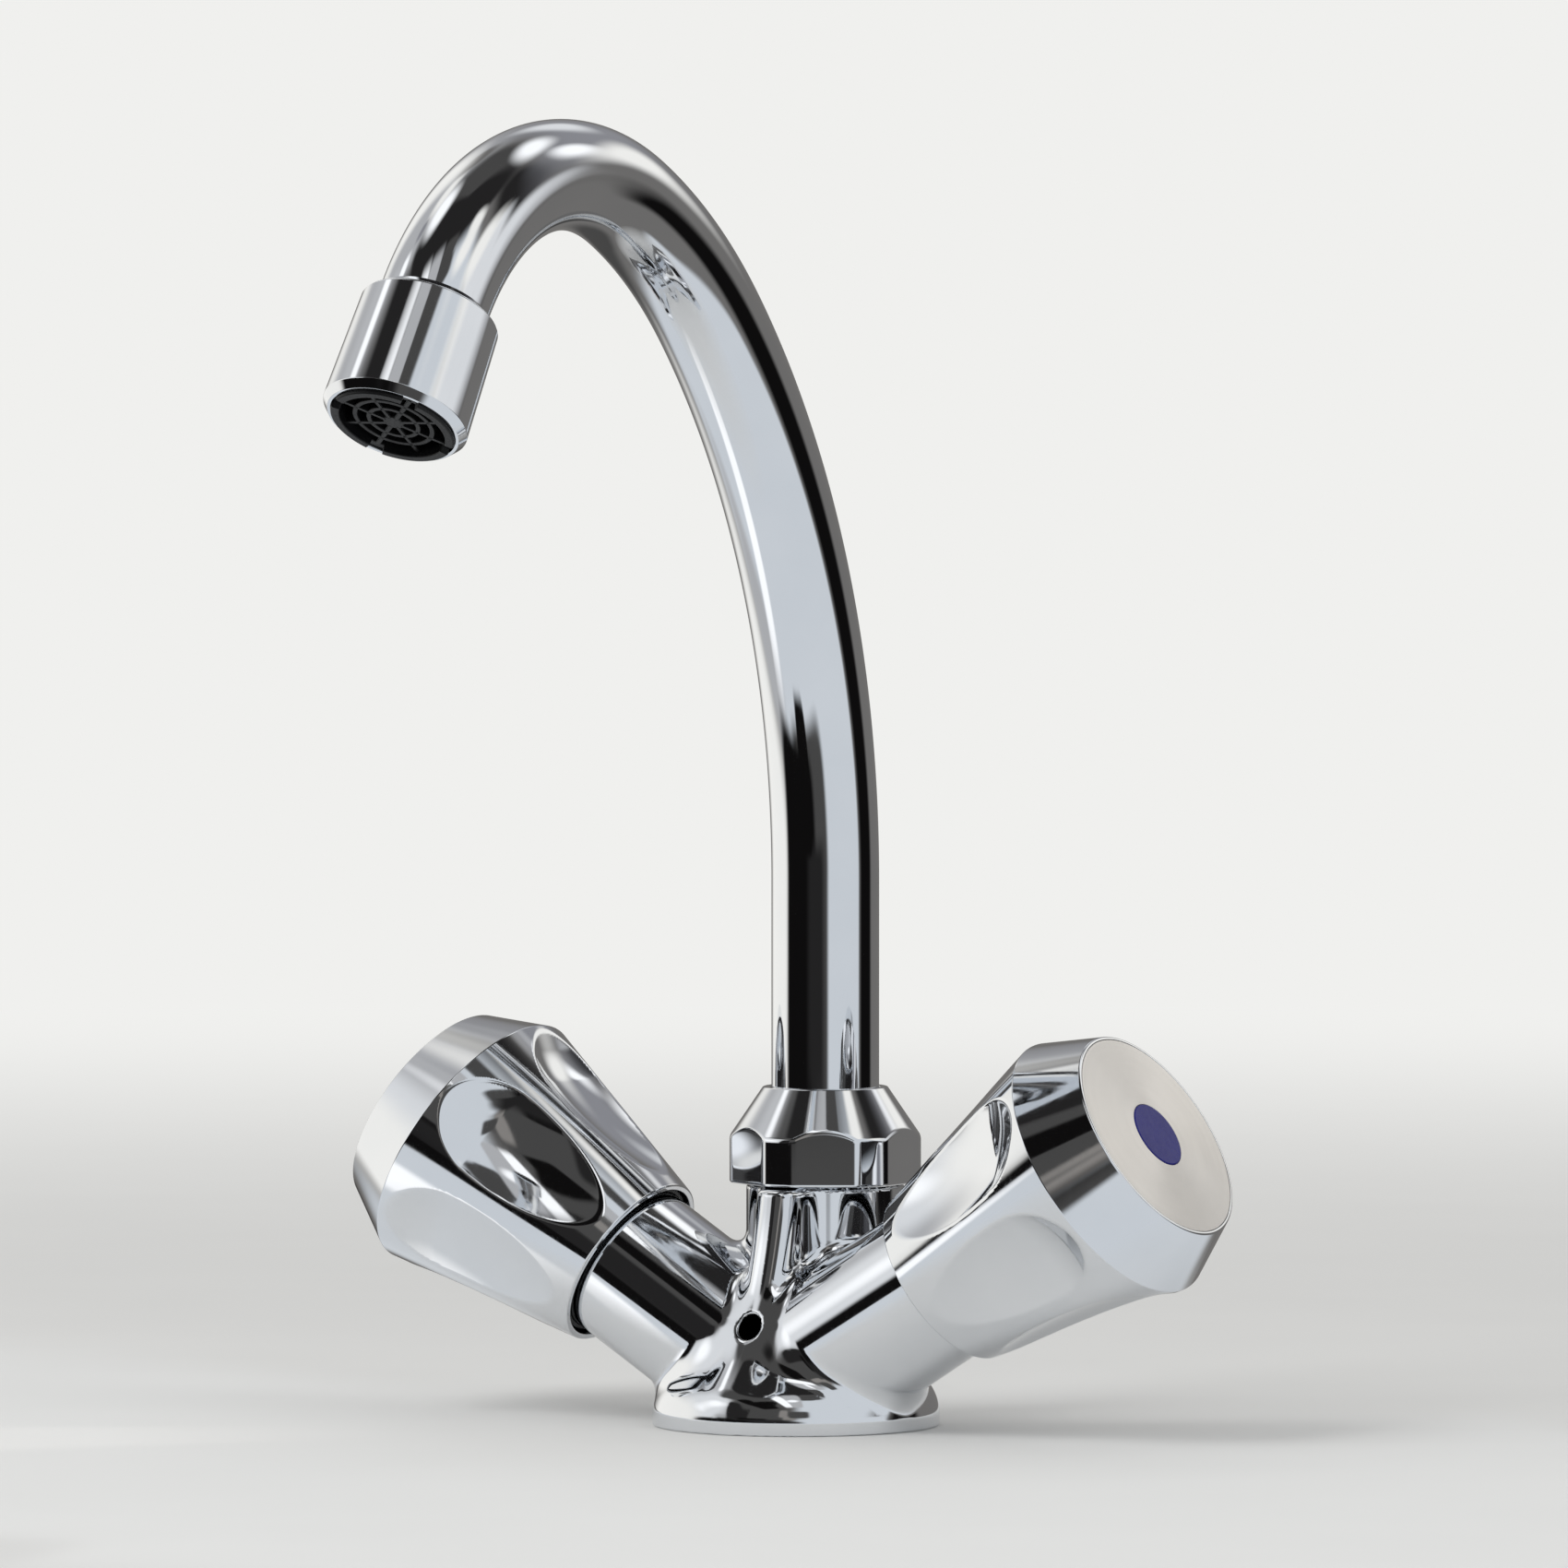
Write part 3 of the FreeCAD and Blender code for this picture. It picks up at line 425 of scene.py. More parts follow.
# %% Distances, fillets and normals
def round_max(first, second, radius):
    """The larger of two distances, with the edge between the surfaces rounded."""
    corner = np.hypot(np.maximum(first + radius, 0.0), np.maximum(second + radius, 0.0))
    return np.minimum(-radius, np.maximum(first, second)) + corner


def round_min(first, second, radius):
    """The smaller of two distances, with a fillet between the surfaces."""
    return -round_max(-first, -second, radius)


def between(value, low, high):
    """Negative where the value lies between low and high."""
    return np.maximum(low - value, value - high)


def beyond_cone(radius, height, start, end):
    """Distance to a cone whose side runs from start to end, both (radius, height)."""
    run, rise = end[0] - start[0], end[1] - start[1]
    return ((radius - start[0]) * rise - (height - start[1]) * run) / math.hypot(run, rise)


def slope(distance, points, step=0.05):
    """How the distance grows along each axis, at each point."""
    growth = np.empty(points.shape)
    for axis in range(3):
        shift = np.zeros(3)
        shift[axis] = step
        ahead, behind = [distance(*np.moveaxis(moved, -1, 0))
                         for moved in (points + shift, points - shift)]
        growth[..., axis] = ahead - behind
    return growth / (2 * step)


def unit(vectors):
    """The same directions with length 1."""
    return vectors / np.linalg.norm(vectors, axis=-1, keepdims=True)


def even_grid(heights, columns):
    """A grid of heights and of even directions round Z."""
    return np.meshgrid(heights, even_angles(columns), indexing="ij")


HALVINGS = 40


def carved_rows(distance, height, angle, low, high):
    """Where the solid ends at each height and in each direction, and the normals there."""
    inside, outside = np.full(height.shape, low), np.full(height.shape, high)
    for _ in range(HALVINGS):
        middle = (inside + outside) / 2
        solid = distance(middle * np.cos(angle), middle * np.sin(angle), height) < 0
        inside, outside = np.where(solid, middle, inside), np.where(solid, outside, middle)
    points = np.stack([middle * np.cos(angle), middle * np.sin(angle), height], 2)
    return points, unit(slope(distance, points))


print("two flats that meet at a rounded edge:", round(float(round_max(0.0, 0.0, 1.0)), 3))

# %% [markdown]
# The body is one brass casting: a bell-shaped foot, an upright column, a slender keel in
# front of the column and two slanted arms, all flowing into each other with the same
# fillet. Its surface is found on a fine grid and then drawn tight: each point is moved on
# to the exact surface and evened out between its neighbours. A modelling program's bevels
# would struggle where four fillets meet, and this way they simply blend.

# %% Skin of a solid
FAR_AWAY = 10.0  # the distance that the grid takes outside its box
ROUNDS = 3
EVENING = 0.6  # share of the way to the neighbours' middle
LEAST_SLOPE = 0.05


def skin(distance, low, high, pitch):
    """Evenly spread quads on the surface where the distance is zero."""
    low = np.array(low)
    counts = np.ceil((np.array(high) - low) / pitch).astype(int) + 1
    axes = [low[k] + pitch * np.arange(counts[k]) for k in range(3)]
    values = distance(*np.meshgrid(*axes, indexing="ij"))
    grid = openvdb.FloatGrid(background=FAR_AWAY)
    grid.copyFromArray(values.astype(np.float32))
    points, quads = grid.convertToQuads(isovalue=0.0)
    points = low + pitch * np.asarray(points, float)
    quads = np.asarray(quads).astype(int)
    start, end = quads.ravel(), np.roll(quads, -1, 1).ravel()
    count = np.bincount(start, minlength=len(points))[:, None]
    for turn in range(ROUNDS):
        for _ in range(3):
            growth = slope(distance, points)
            far = distance(*points.T)[:, None]
            steep = np.maximum((growth ** 2).sum(1, keepdims=True), LEAST_SLOPE)
            points = points - growth * far / steep
        if turn < ROUNDS - 1:
            total = [np.bincount(start, points[end, k], len(points)) for k in range(3)]
            move = np.stack(total, 1) / count - points
            out = unit(growth)
            along_out = (move * out).sum(1, keepdims=True)
            points = points + EVENING * (move - out * along_out)
    normals = unit(slope(distance, points))
    return {"points": points, "faces": quads.tolist(), "normals": list(normals[quads]),
            "uvs": [np.zeros((4, 2))] * len(quads)}


print("a skin is drawn tight in", ROUNDS, "rounds")

# %% [markdown]
# The casting's outside is one sentence in distances: foot, column, arms and keel joined
# with fillets. The machined hollows are then cut out of it with nearly sharp edges, and the
# hole for a plug's chain with an edge that polishing has worn round.

# %% The casting as a distance
FILLET = 3.0
FOOT_RIM, FOOT_NECK = (24.0, 5.0), (12.5, 17.5)
COLUMN_RADIUS, COLUMN_TOP = 13.2, 39.6
SPIGOT_RADIUS, SPIGOT_TOP = 12.6, 48.0
KEEL_HALF_WIDTH, KEEL_BOTTOM = 4.0, 5.6
KEEL_ARC_Y, KEEL_ARC_Z, KEEL_ARC_RADIUS = -95.7, 53.9, 88.45
CHAIN_HOLE_Z, CHAIN_HOLE_RADIUS, CHAIN_HOLE_END = 17.3, 2.0, -7.16
MACHINED_EDGE, POLISHED_EDGE = 0.3, 0.85


def casting_outside(x, y, z):
    """Foot, column, arms and keel, blended."""
    side, radius, from_column = np.abs(x), np.hypot(x, y), np.hypot(x, y - COLUMN_Y)
    bell = beyond_cone(radius, z, FOOT_RIM, FOOT_NECK)
    foot = round_max(round_max(radius - FOOT_RIM[0], bell, 2.0), z - FOOT_NECK[1], 0.5)
    column = round_max(from_column - COLUMN_RADIUS, between(z, 2.5, COLUMN_TOP), 0.4)
    along, across = arm_coordinates(side, y, z)
    arm = np.maximum(round_max(across - ARM_RADIUS, along - ARM_LENGTH, 0.6), -along)
    front = KEEL_ARC_RADIUS - np.hypot(y - KEEL_ARC_Y, z - KEEL_ARC_Z)
    keel = round_max(side - KEEL_HALF_WIDTH, front, 3.6)
    keel = round_max(keel, between(z, KEEL_BOTTOM, COLUMN_TOP), 1.0)
    keel = np.maximum(keel, y - COLUMN_Y)
    solid = foot
    for part in (column, arm, keel):
        solid = round_min(solid, part, FILLET)
    spigot = np.maximum(from_column - SPIGOT_RADIUS, between(z, 20.0, SPIGOT_TOP))
    return round_max(np.minimum(solid, spigot), -z, 0.4)


def arm_coordinates(side, y, z):
    """How far along the arm's axis a point is, and how far from it."""
    up = z - ARM_ORIGIN[2]
    along = side * math.cos(ARM_RISE) + up * math.sin(ARM_RISE)
    across = np.hypot(side * math.sin(ARM_RISE) - up * math.cos(ARM_RISE), y - ARM_ORIGIN[1])
    return along, across


def casting_hollows(x, y, z):
    """Everything that the machines cut out of the casting."""
    side = np.abs(x)
    along, across = arm_coordinates(side, y, z)
    from_column = np.hypot(x, y - COLUMN_Y)
    hollows = {
        "seat chamber": np.maximum(across - 9.0, between(along, 15.0, 31.0)),
        "headwork": np.maximum(across - 10.5, between(along, 30.0, 60.0)),
        "way in": np.maximum(across - 2.5, between(along, 7.5, 16.0)),
        "spout socket": np.maximum(from_column - 10.5, 29.5 - z),
        "way up": np.maximum(from_column - 6.5, between(z, 16.5, 30.0)),
        "inlet": np.maximum(np.hypot(side - 8.5, y - 1.0) - 4.5, z - 11.0),
        "fixing stud": np.maximum(np.hypot(x, y + 12.0) - 3.4, z - 14.0),
        "seal groove": np.maximum(np.abs(np.hypot(x, y) - 20.0) - 1.5, z - 1.6),
    }
    return np.minimum.reduce(list(hollows.values()))


def casting(x, y, z):
    """Sharp edges at the machined hollows, and a polished round one at the chain hole."""
    machined_body = round_max(
        casting_outside(x, y, z), -casting_hollows(x, y, z), MACHINED_EDGE)
    chain_hole = np.maximum(
        np.hypot(x, z - CHAIN_HOLE_Z) - CHAIN_HOLE_RADIUS, y - CHAIN_HOLE_END)
    return round_max(machined_body, -chain_hole, POLISHED_EDGE)


casting_mesh = shape_to_mesh("casting", skin(
    casting, low=(-43.5, -25.5, -1.0), high=(43.5, 25.5, 49.0), pitch=0.55))
add_piece("mixer_body_casting", casting_mesh, chrome_casting, "mixer", ["mixer_body"], "chrome")

# %% [markdown]
# Plating hardly reaches into a narrow hole, so the inside of the chain hole stays dull. Its
# near-black colour is painted shade, standing in for the dark of the deep hole. Each corner of
# the casting stores how deep inside the hole it lies. The shader reads that number, and since
# it changes smoothly from corner to corner, so do the dull plating's edge and the painted
# shade, however coarse the mesh is.

# %% Inside of the chain hole
corners = np.empty(len(casting_mesh.vertices) * 3)
casting_mesh.vertices.foreach_get("co", corners)
x, y, z = corners.reshape(-1, 3).T * 1000.0
in_hole = (np.hypot(x, z - CHAIN_HOLE_Z) < CHAIN_HOLE_RADIUS + 1.2) & (y < -6.8)
depth = np.where(in_hole, -casting_outside(x, y, z), 0.0)
stored = casting_mesh.attributes.new("hole_depth", "FLOAT", "POINT")
stored.data.foreach_set("value", depth.astype(np.float32))

tree = chrome_casting.node_tree
shader = next(node for node in tree.nodes if node.type == "BSDF_PRINCIPLED")
hole = add(tree, "ShaderNodeAttribute", attribute_name="hole_depth").outputs["Fac"]
bare_and_shaded = add(tree, "ShaderNodeMapRange", {"Value": hole, "From Min": 0.25, "From Max": 0.6})
plated = shader.inputs["Base Color"].links[0].from_socket
# Painted shade: deep in the chain hole the colour turns near black in place of the hole's own
# shade. The higher roughness there is the real dull, unplated metal.
colour = add(tree, "ShaderNodeMix", {0: bare_and_shaded, 6: plated, 7: rgb("#0E0B08")}, data_type="RGBA")
polished = shader.inputs["Roughness"].links[0].from_socket
rough = add(tree, "ShaderNodeMix", {0: bare_and_shaded, 2: polished, 3: 0.6})
tree.links.new(colour.outputs[2], shader.inputs["Base Color"])
tree.links.new(rough.outputs[0], shader.inputs["Roughness"])
print("deepest corner in the chain hole", round(float(depth.max()), 1), "mm")

# %% [markdown]
# The union nut that holds the spout was milled from a turned blank. Its hexagon's flats
# end in arcs where they run out into the cone above, and its corners are narrow round
# strips. The outside is carved from a distance, ray by ray, and the bores below are the
# plain outline of a turned piece.

# %% Union nut
NUT_BOTTOM = 40.0
NUT_TOP = NUT_BOTTOM + 16.0
NUT_FLAT, NUT_CORNER = 15.0, 16.0
NUT_CONE = (15.65, 48.3), (10.65, 55.65)


def nut_outside(x, y, z):
    """Hexagon with round corner strips, and the cone."""
    radius = np.hypot(x, y)
    flats = [np.abs(x * math.cos(a) + y * math.sin(a)) for a in np.radians((0, 60, 120))]
    sides = round_max(np.maximum.reduce(flats) - NUT_FLAT, radius - NUT_CORNER, 0.25)
    cone = beyond_cone(radius, z, *NUT_CONE)
    return round_max(round_max(sides, cone, 0.3), NUT_BOTTOM - z, 0.35)


nut_inside, nut_directions = rounded_outline([
    (*NUT_CONE[0], 0), (10.41, NUT_TOP, 0.35), (9.3, NUT_TOP, 0.3), (9.3, 51.15, 0),
    (11.8, 51.15, 0), (11.8, 48.05, 0), (12.65, 48.05, 0), (12.65, NUT_BOTTOM, 0.3),
    (15.65, NUT_BOTTOM, 0)])
nut_heights = np.concatenate([
    NUT_BOTTOM + np.array([0.004, 0.02, 0.06, 0.12, 0.2, 0.3]),
    np.arange(40.5, 47.9, 0.4), np.arange(47.9, 49.7, 0.12), np.arange(49.8, 55.6, 0.3)])
nut_rows = [carved_rows(nut_outside, *even_grid(nut_heights, 360), low=8.0, high=18.0),
            spin(nut_inside[2:-2], nut_directions[2:-2], 360)]
nut_shape = loft(*(np.concatenate(pair) for pair in zip(*nut_rows)))
add_shape("spout_nut_turned", nut_shape, ON_COLUMN, chrome_turned, "mixer",
          ["spout_nut"], "chrome")

# %% [markdown]
# The spout is one drawn tube, bent cold round three formers of growing tightness. It is
# the best case for Geometry Nodes: a line, a circle, and Curve to Mesh that carries the
# circle along the line. The line follows the CAD model: a straight rise, three bends that
# flow into each other, and a short straight end. Solidify then gives the tube its wall.

# %% The spout's line
TUBE = {"radius": 9.0, "wall": 1.0, "foot": 41.0, "straight_top": 90.6, "end": 8.8}
BENDS = ((136.0, 44.0), (88.0, 21.0), (47.0, 82.0))


def spout_line(step_mm):
    """Points down the middle of the tube, the place where its outlet starts, and its way."""
    foot = np.array([0.0, COLUMN_Y, TUBE["foot"]])
    rise = np.array([0.0, 0.0, TUBE["straight_top"] - TUBE["foot"]])
    line = [foot + rise * k / 12 for k in range(13)]
    heading = 0.0
    for radius, degrees in BENDS:
        start = line[-1]
        turn = math.radians(degrees)
        steps = math.ceil(radius * turn / step_mm)
        for k in range(1, steps + 1):
            angle = heading + turn * k / steps
            forward = radius * (math.cos(heading) - math.cos(angle))
            up = radius * (math.sin(angle) - math.sin(heading))
            line.append(start + np.array([0.0, -forward, up]))
        heading += turn
    way = np.array([0.0, -math.sin(heading), math.cos(heading)])
    outlet = line[-1]
    line += [outlet + way * TUBE["end"] * k / 4 for k in range(1, 5)]
    return np.array(line), outlet, way


TUBE_LINE, OUTLET, OUTLET_WAY = spout_line(1.3)
_, WAY_Y, WAY_Z = OUTLET_WAY
ON_OUTLET = (np.array([[1.0, 0.0, 0.0], [0.0, WAY_Z, WAY_Y], [0.0, -WAY_Y, WAY_Z]]), OUTLET)
print("the outlet starts at", OUTLET.round(2), "and points along", OUTLET_WAY.round(3))

# %% A tube along a line, in Geometry Nodes
def node_tree(name, sockets):
    """A Geometry Nodes tree with named inputs and one geometry output, still empty."""
    tree = bpy.data.node_groups.new(name, "GeometryNodeTree")
    for label, kind in sockets:
        tree.interface.new_socket(label, in_out="INPUT", socket_type=kind)
    tree.interface.new_socket("Result", in_out="OUTPUT", socket_type="NodeSocketGeometry")
    return tree, add(tree, "NodeGroupInput").outputs


def end_tree(tree, geometry, finish):
    """Makes instances real, sets the finish and hands the result out."""
    real = add(tree, "GeometryNodeRealizeInstances", {0: geometry})
    dressed = add(tree, "GeometryNodeSetMaterial", {0: real, "Material": finish})
    add(tree, "NodeGroupOutput", {0: dressed})


def tube_tree():
    """Line in, tube out."""
    tree, given = node_tree("Tube_along_a_line", [
        ("Line", "NodeSocketGeometry"), ("Radius", "NodeSocketFloat"),
        ("Sides", "NodeSocketInt"), ("Finish", "NodeSocketMaterial")])
    path = add(tree, "GeometryNodeMeshToCurve", {0: given["Line"]})
    circle = add(tree, "GeometryNodeCurvePrimitiveCircle", {
        "Resolution": given["Sides"], "Radius": given["Radius"]})
    tube = add(tree, "GeometryNodeCurveToMesh", {0: path, 1: circle})
    smooth = add(tree, "GeometryNodeSetShadeSmooth", {0: tube})
    end_tree(tree, smooth, given["Finish"])
    return tree


def grow(start_mesh, tree, values):
    """An object whose modifier runs the tree. Each input is set by its identifier."""
    seed = add_object(start_mesh.name, start_mesh)
    modifier = seed.modifiers.new("Grow", "NODES")
    modifier.node_group = tree
    for item in tree.interface.items_tree:
        if item.in_out == "INPUT" and item.name in values:
            modifier[item.identifier] = values[item.name]
    return seed


def settled(seed):
    """Keeps the evaluated mesh, and removes the modifiers and the starting object."""
    bpy.context.view_layer.update()
    graph = bpy.context.evaluated_depsgraph_get()
    mesh = bpy.data.meshes.new_from_object(seed.evaluated_get(graph))
    seed.modifiers.clear()
    bpy.data.objects.remove(seed)
    return mesh


line_mesh = bpy.data.meshes.new("spout_line")
steps_along = [(k, k + 1) for k in range(len(TUBE_LINE) - 1)]
line_mesh.from_pydata((TUBE_LINE * MM).tolist(), steps_along, [])
tube_seed = grow(line_mesh, tube_tree(), {
    "Radius": TUBE["radius"] * MM, "Sides": 128, "Finish": chrome_tube})
wall = tube_seed.modifiers.new("Wall", "SOLIDIFY")
wall.thickness = TUBE["wall"] * MM
wall.offset = -1.0
wall.use_even_offset = True
tube_mesh = settled(tube_seed)
tube_mesh.set_sharp_from_angle(angle=math.radians(50))
add_piece("spout_tube_drawn", tube_mesh, chrome_tube, "spout", ["spout_tube"], "chrome")

# %% [markdown]
# Below the tube's end comes a small threaded bush, whose cone shows as a light step, and
# then the aerator's shell, a turned chrome sleeve that widens a little and ends in a bevel.

# %% Outlet bush and aerator shell
SHELL_TOP = 1.55
SHELL_BOTTOM = SHELL_TOP + 20.2
SHELL_LIP = 13.2
bush_shape = turned([
    (9.7, 0.0, 0.12), (11.4, 1.5, 0.12), (10.85, 1.5, 0), (10.85, 10.05, 0.2),
    (8.0, 10.05, 0.1), (8.0, 8.85, 0), (9.03, 8.85, 0), (9.03, 0.0, 0.1)], 160)
add_shape("outlet_bush_turned", bush_shape, ON_OUTLET, chrome_turned, "spout",
          ["outlet_bush"], "chrome")
shell_shape = turned([
    (11.4, SHELL_TOP, 0.15), (11.95, SHELL_BOTTOM - 1.3, 0.25), (10.9, SHELL_BOTTOM, 0.15),
    (10.3, SHELL_BOTTOM, 0.15), (10.3, SHELL_LIP, 0), (10.9, SHELL_LIP, 0),
    (10.9, SHELL_TOP, 0.1)], 160)
add_shape("aerator_shell_turned", shell_shape, ON_OUTLET, chrome_turned, "spout",
          ["aerator_shell"], "chrome")

# %% [markdown]
# The black insert in the shell is a moulding that breaks the water into a soft stream: a
# rim with four notches for a key, two rings, a hub and eight spokes. The spokes repeat, so
# one spoke is drawn and Geometry Nodes sets copies of it round the axis. The rim is a
# turned outline whose lowest rows are lifted where a notch is cut.

# %% Spokes round an axis, in Geometry Nodes
GRILLE_BOTTOM = 21.45
GRILLE_TOP = GRILLE_BOTTOM - 3.0
GRILLE_BAR = 0.8


def spoke_tree():
    """One spoke in, an even wheel of spokes out."""
    tree, given = node_tree("Spokes_round_an_axis", [
        ("Spoke", "NodeSocketGeometry"), ("Count", "NodeSocketInt"),
        ("Finish", "NodeSocketMaterial")])
    dots = add(tree, "GeometryNodePoints", {"Count": given["Count"]})
    number = add(tree, "GeometryNodeInputIndex")
    share = add(tree, "ShaderNodeMath", {0: number, 1: given["Count"]}, operation="DIVIDE")
    angle = add(tree, "ShaderNodeMath", {0: share, 1: 2 * math.pi}, operation="MULTIPLY")
    turn = add(tree, "ShaderNodeCombineXYZ", {"Z": angle})
    wheel = add(tree, "GeometryNodeInstanceOnPoints", {
        "Points": dots, "Instance": given["Spoke"], "Rotation": turn})
    end_tree(tree, wheel, given["Finish"])
    return tree


SPOKE_MIDDLE, SPOKE_LENGTH = 5.2, 8.0
spoke = bmesh.new()
bmesh.ops.create_cube(spoke, size=1.0)
for vertex in spoke.verts:
    x, y, z = vertex.co
    height = (GRILLE_TOP + GRILLE_BOTTOM) / 2 + (GRILLE_BOTTOM - GRILLE_TOP) * z
    vertex.co = (SPOKE_MIDDLE + SPOKE_LENGTH * x, GRILLE_BAR * y, height)
bmesh.ops.bevel(spoke, geom=spoke.edges[:], offset=0.12, segments=2, affect="EDGES")
spoke_mesh = bpy.data.meshes.new("one_spoke")
spoke.to_mesh(spoke_mesh)
spoke.free()
wheel_mesh = settled(grow(spoke_mesh, spoke_tree(), {"Count": 8, "Finish": black_plastic}))
print("the wheel of spokes has", len(wheel_mesh.polygons), "faces")

# %% Rim, rings and hub of the insert
INSERT_BOTTOM = 22.35
NOTCH_WIDTH, NOTCH_DEPTH, NOTCH_RADIUS = 2.4, 1.0, 9.5


def notched_rim():
    """The insert's rim and flange, with four notches in the lower edge."""
    points, normals = spin(*rounded_outline([
        (10.25, 13.15, 0), (10.25, INSERT_BOTTOM, 0.3), (8.75, INSERT_BOTTOM, 0.2),
        (8.75, 11.65, 0.1), (10.8, 11.65, 0.1), (10.8, 13.15, 0.1)]), 360)
    angles = np.degrees(np.arctan2(points[..., 1], points[..., 0]))
    from_notch = np.radians(np.abs(angles % 90.0 - 45.0)) * NOTCH_RADIUS
    cut = (from_notch < NOTCH_WIDTH / 2) & (points[..., 2] > INSERT_BOTTOM - 0.5)
    points[..., 2] -= np.where(cut, NOTCH_DEPTH, 0.0)
    return loft(points, normals)


def grille_ring(radius):
    """A square bar bent to a ring, with soft edges."""
    inner, outer = radius - GRILLE_BAR / 2, radius + GRILLE_BAR / 2
    return turned([(outer, GRILLE_TOP, 0.1), (outer, GRILLE_BOTTOM, 0.12),
                   (inner, GRILLE_BOTTOM, 0.12), (inner, GRILLE_TOP, 0.1)], 96)


hub = turned([(0.0, GRILLE_TOP, 0), (1.8, GRILLE_TOP, 0.1), (1.8, GRILLE_BOTTOM, 0.3),
              (0.0, GRILLE_BOTTOM, 0)], 48)
insert_shape = joined([notched_rim(), grille_ring(4.1), grille_ring(6.4), hub,
                       mesh_to_shape(wheel_mesh)])
add_shape("aerator_insert_moulded", insert_shape, ON_OUTLET, black_plastic, "spout",
          ["aerator_insert"], "black_plastic")

# %% [markdown]
# Each handle is a die casting, turned at both ends, with six long flutes for the fingers.
# A flute is a shallow dish, much longer than wide: it meets the cone in two long arcs and
# runs out at the neck. Towards the cap a slanted wall closes it. The dish draws long light
# and dark lines on its floor, and the slanted wall catches one even tone.

# %% One flute as a distance
FLUTE = {"lowest": HANDLE_RIDGE - 26.94, "floor": 15.95, "long": 65.8, "cross": 24.0,
         "wall_foot": (19.03, HANDLE_RIDGE - 6.8), "wall": math.radians(37.2), "bow": 16.0,
         "corner": 1.0, "edge": 0.25, "turned": math.radians(59.0)}
SIXTH = math.pi / 3


def flute_cutter(x, y, z):
    """Distance to a flute's cutter, for a point near the flute's own middle plane."""
    from_middle = np.hypot(x - FLUTE["floor"] - FLUTE["long"], z - FLUTE["lowest"])
    dish = np.hypot(y, FLUTE["long"] - from_middle - FLUTE["cross"]) - FLUTE["cross"]
    foot_x, foot_z = FLUTE["wall_foot"]
    beyond = (z - foot_z) * math.sin(FLUTE["wall"]) - (x - foot_x) * math.cos(FLUTE["wall"])
    bow = FLUTE["bow"] * math.sin(FLUTE["wall"])
    wall = np.hypot(y * math.sin(FLUTE["wall"]), bow + np.maximum(beyond, -bow)) - bow
    return round_max(wall, dish, FLUTE["corner"])


def nearest_cutters(radius, angle, z):
    """Distances to the cutter of this sixth and to the nearest one beside it."""
    turn = np.abs((angle - FLUTE["turned"] + SIXTH / 2) % SIXTH - SIXTH / 2)
    return [flute_cutter(radius * np.cos(a), radius * np.sin(a), z)
            for a in (turn, SIXTH - turn)]


print("the flute's deepest point is", round(FLUTE["floor"], 2), "mm from the axis")

# %% [markdown]
# A flute's outline on the cone is the tap's sharpest line. A plain grid would cross it
# aslant and turn it into a saw. So the grid's points beside the outline are first slid
# along the cone until they sit on it, and only then is the surface carved ray by ray.

# %% Handle
NECK_RADIUS = 15.6
CONE_FLARE = 8.0
RIDGE_RADIUS = NECK_RADIUS + CONE_FLARE
CAP_SEAT = 81.2
REACH = 0.13
HANDLE_COLUMNS = 480


def cone_radius(height):
    """The cone's radius at a height."""
    return NECK_RADIUS + (height - HANDLE_START) * CONE_FLARE / CONE_LENGTH


def handle_outside(x, y, z):
    """The neck's cone, less the flutes."""
    radius = np.hypot(x, y)
    solid = beyond_cone(radius, z, (NECK_RADIUS, HANDLE_START), (RIDGE_RADIUS, HANDLE_RIDGE))
    for cutter in nearest_cutters(radius, np.arctan2(y, x), z):
        solid = round_max(solid, -cutter, FLUTE["edge"])
    return solid


def outline_gap(height, angle):
    """How far a point on the cone is from the nearest flute's outline."""
    return np.minimum(*nearest_cutters(cone_radius(height), angle, height))


def slid_to_outlines(height, angle, step=0.02):
    """Moves the grid points within reach of a flute's outline onto it."""
    for k in range(4):
        radius = cone_radius(height)
        aside = step / radius
        far = outline_gap(height, angle)
        up = outline_gap(height + step, angle) - outline_gap(height - step, angle)
        across = outline_gap(height, angle + aside) - outline_gap(height, angle - aside)
        up, across = up / (2 * step), across / (2 * step)
        steep = np.hypot(up, across)
        if k == 0:
            near = np.abs(far) < REACH * steep
        move = np.where(near, -far / np.maximum(steep, 0.1) ** 2, 0.0)
        height, angle = height + move * up, angle + move * across / radius
    print("points slid onto the outlines", int(near.sum()))
    return height, angle


def handle_shape():
    """Carved rows between turned rows: band, rim, cap seat, socket and neck bore."""
    corners = [
        (NECK_RADIUS, HANDLE_START, 0.4), (RIDGE_RADIUS, HANDLE_RIDGE, 0.4),
        (18.7, HANDLE_END, 0.4), (18.2, HANDLE_END, 0.08), (18.2, CAP_SEAT, 0),
        (14.95, CAP_SEAT, 0.2), (14.95, 70.0, 0.3), (7.03, 70.0, 0), (7.03, 58.0, 0.2),
        (14.6, 58.0, 0.5), (14.6, HANDLE_START, 0.2)]
    rows = spin(*rounded_outline(corners), HANDLE_COLUMNS)
    heights = np.arange(HANDLE_START + 0.8, HANDLE_RIDGE - 0.6, 0.27)
    grid = slid_to_outlines(*even_grid(heights, HANDLE_COLUMNS))
    carved = carved_rows(handle_outside, *grid, low=12.0, high=26.0)
    first = 5  # the rows of the neck's rounded edge
    return loft(*(np.concatenate([row[:first], cut, row[first:]])
                  for row, cut in zip(rows, carved)))


one_handle = handle_shape()
for side, place in ARMS.items():
    add_shape(side + "_handle_cast", one_handle, place, chrome_handle, side + "_handle",
              [side + "_handle"], "chrome")

# %% [markdown]
# A satin disc closes each handle's end. It is slightly crowned, sits in the rim with a
# hair of clearance, and holds the small round colour mark in a pocket in its middle. A
# black ring on the arm guides the neck of the handle and fills the gap in its mouth.

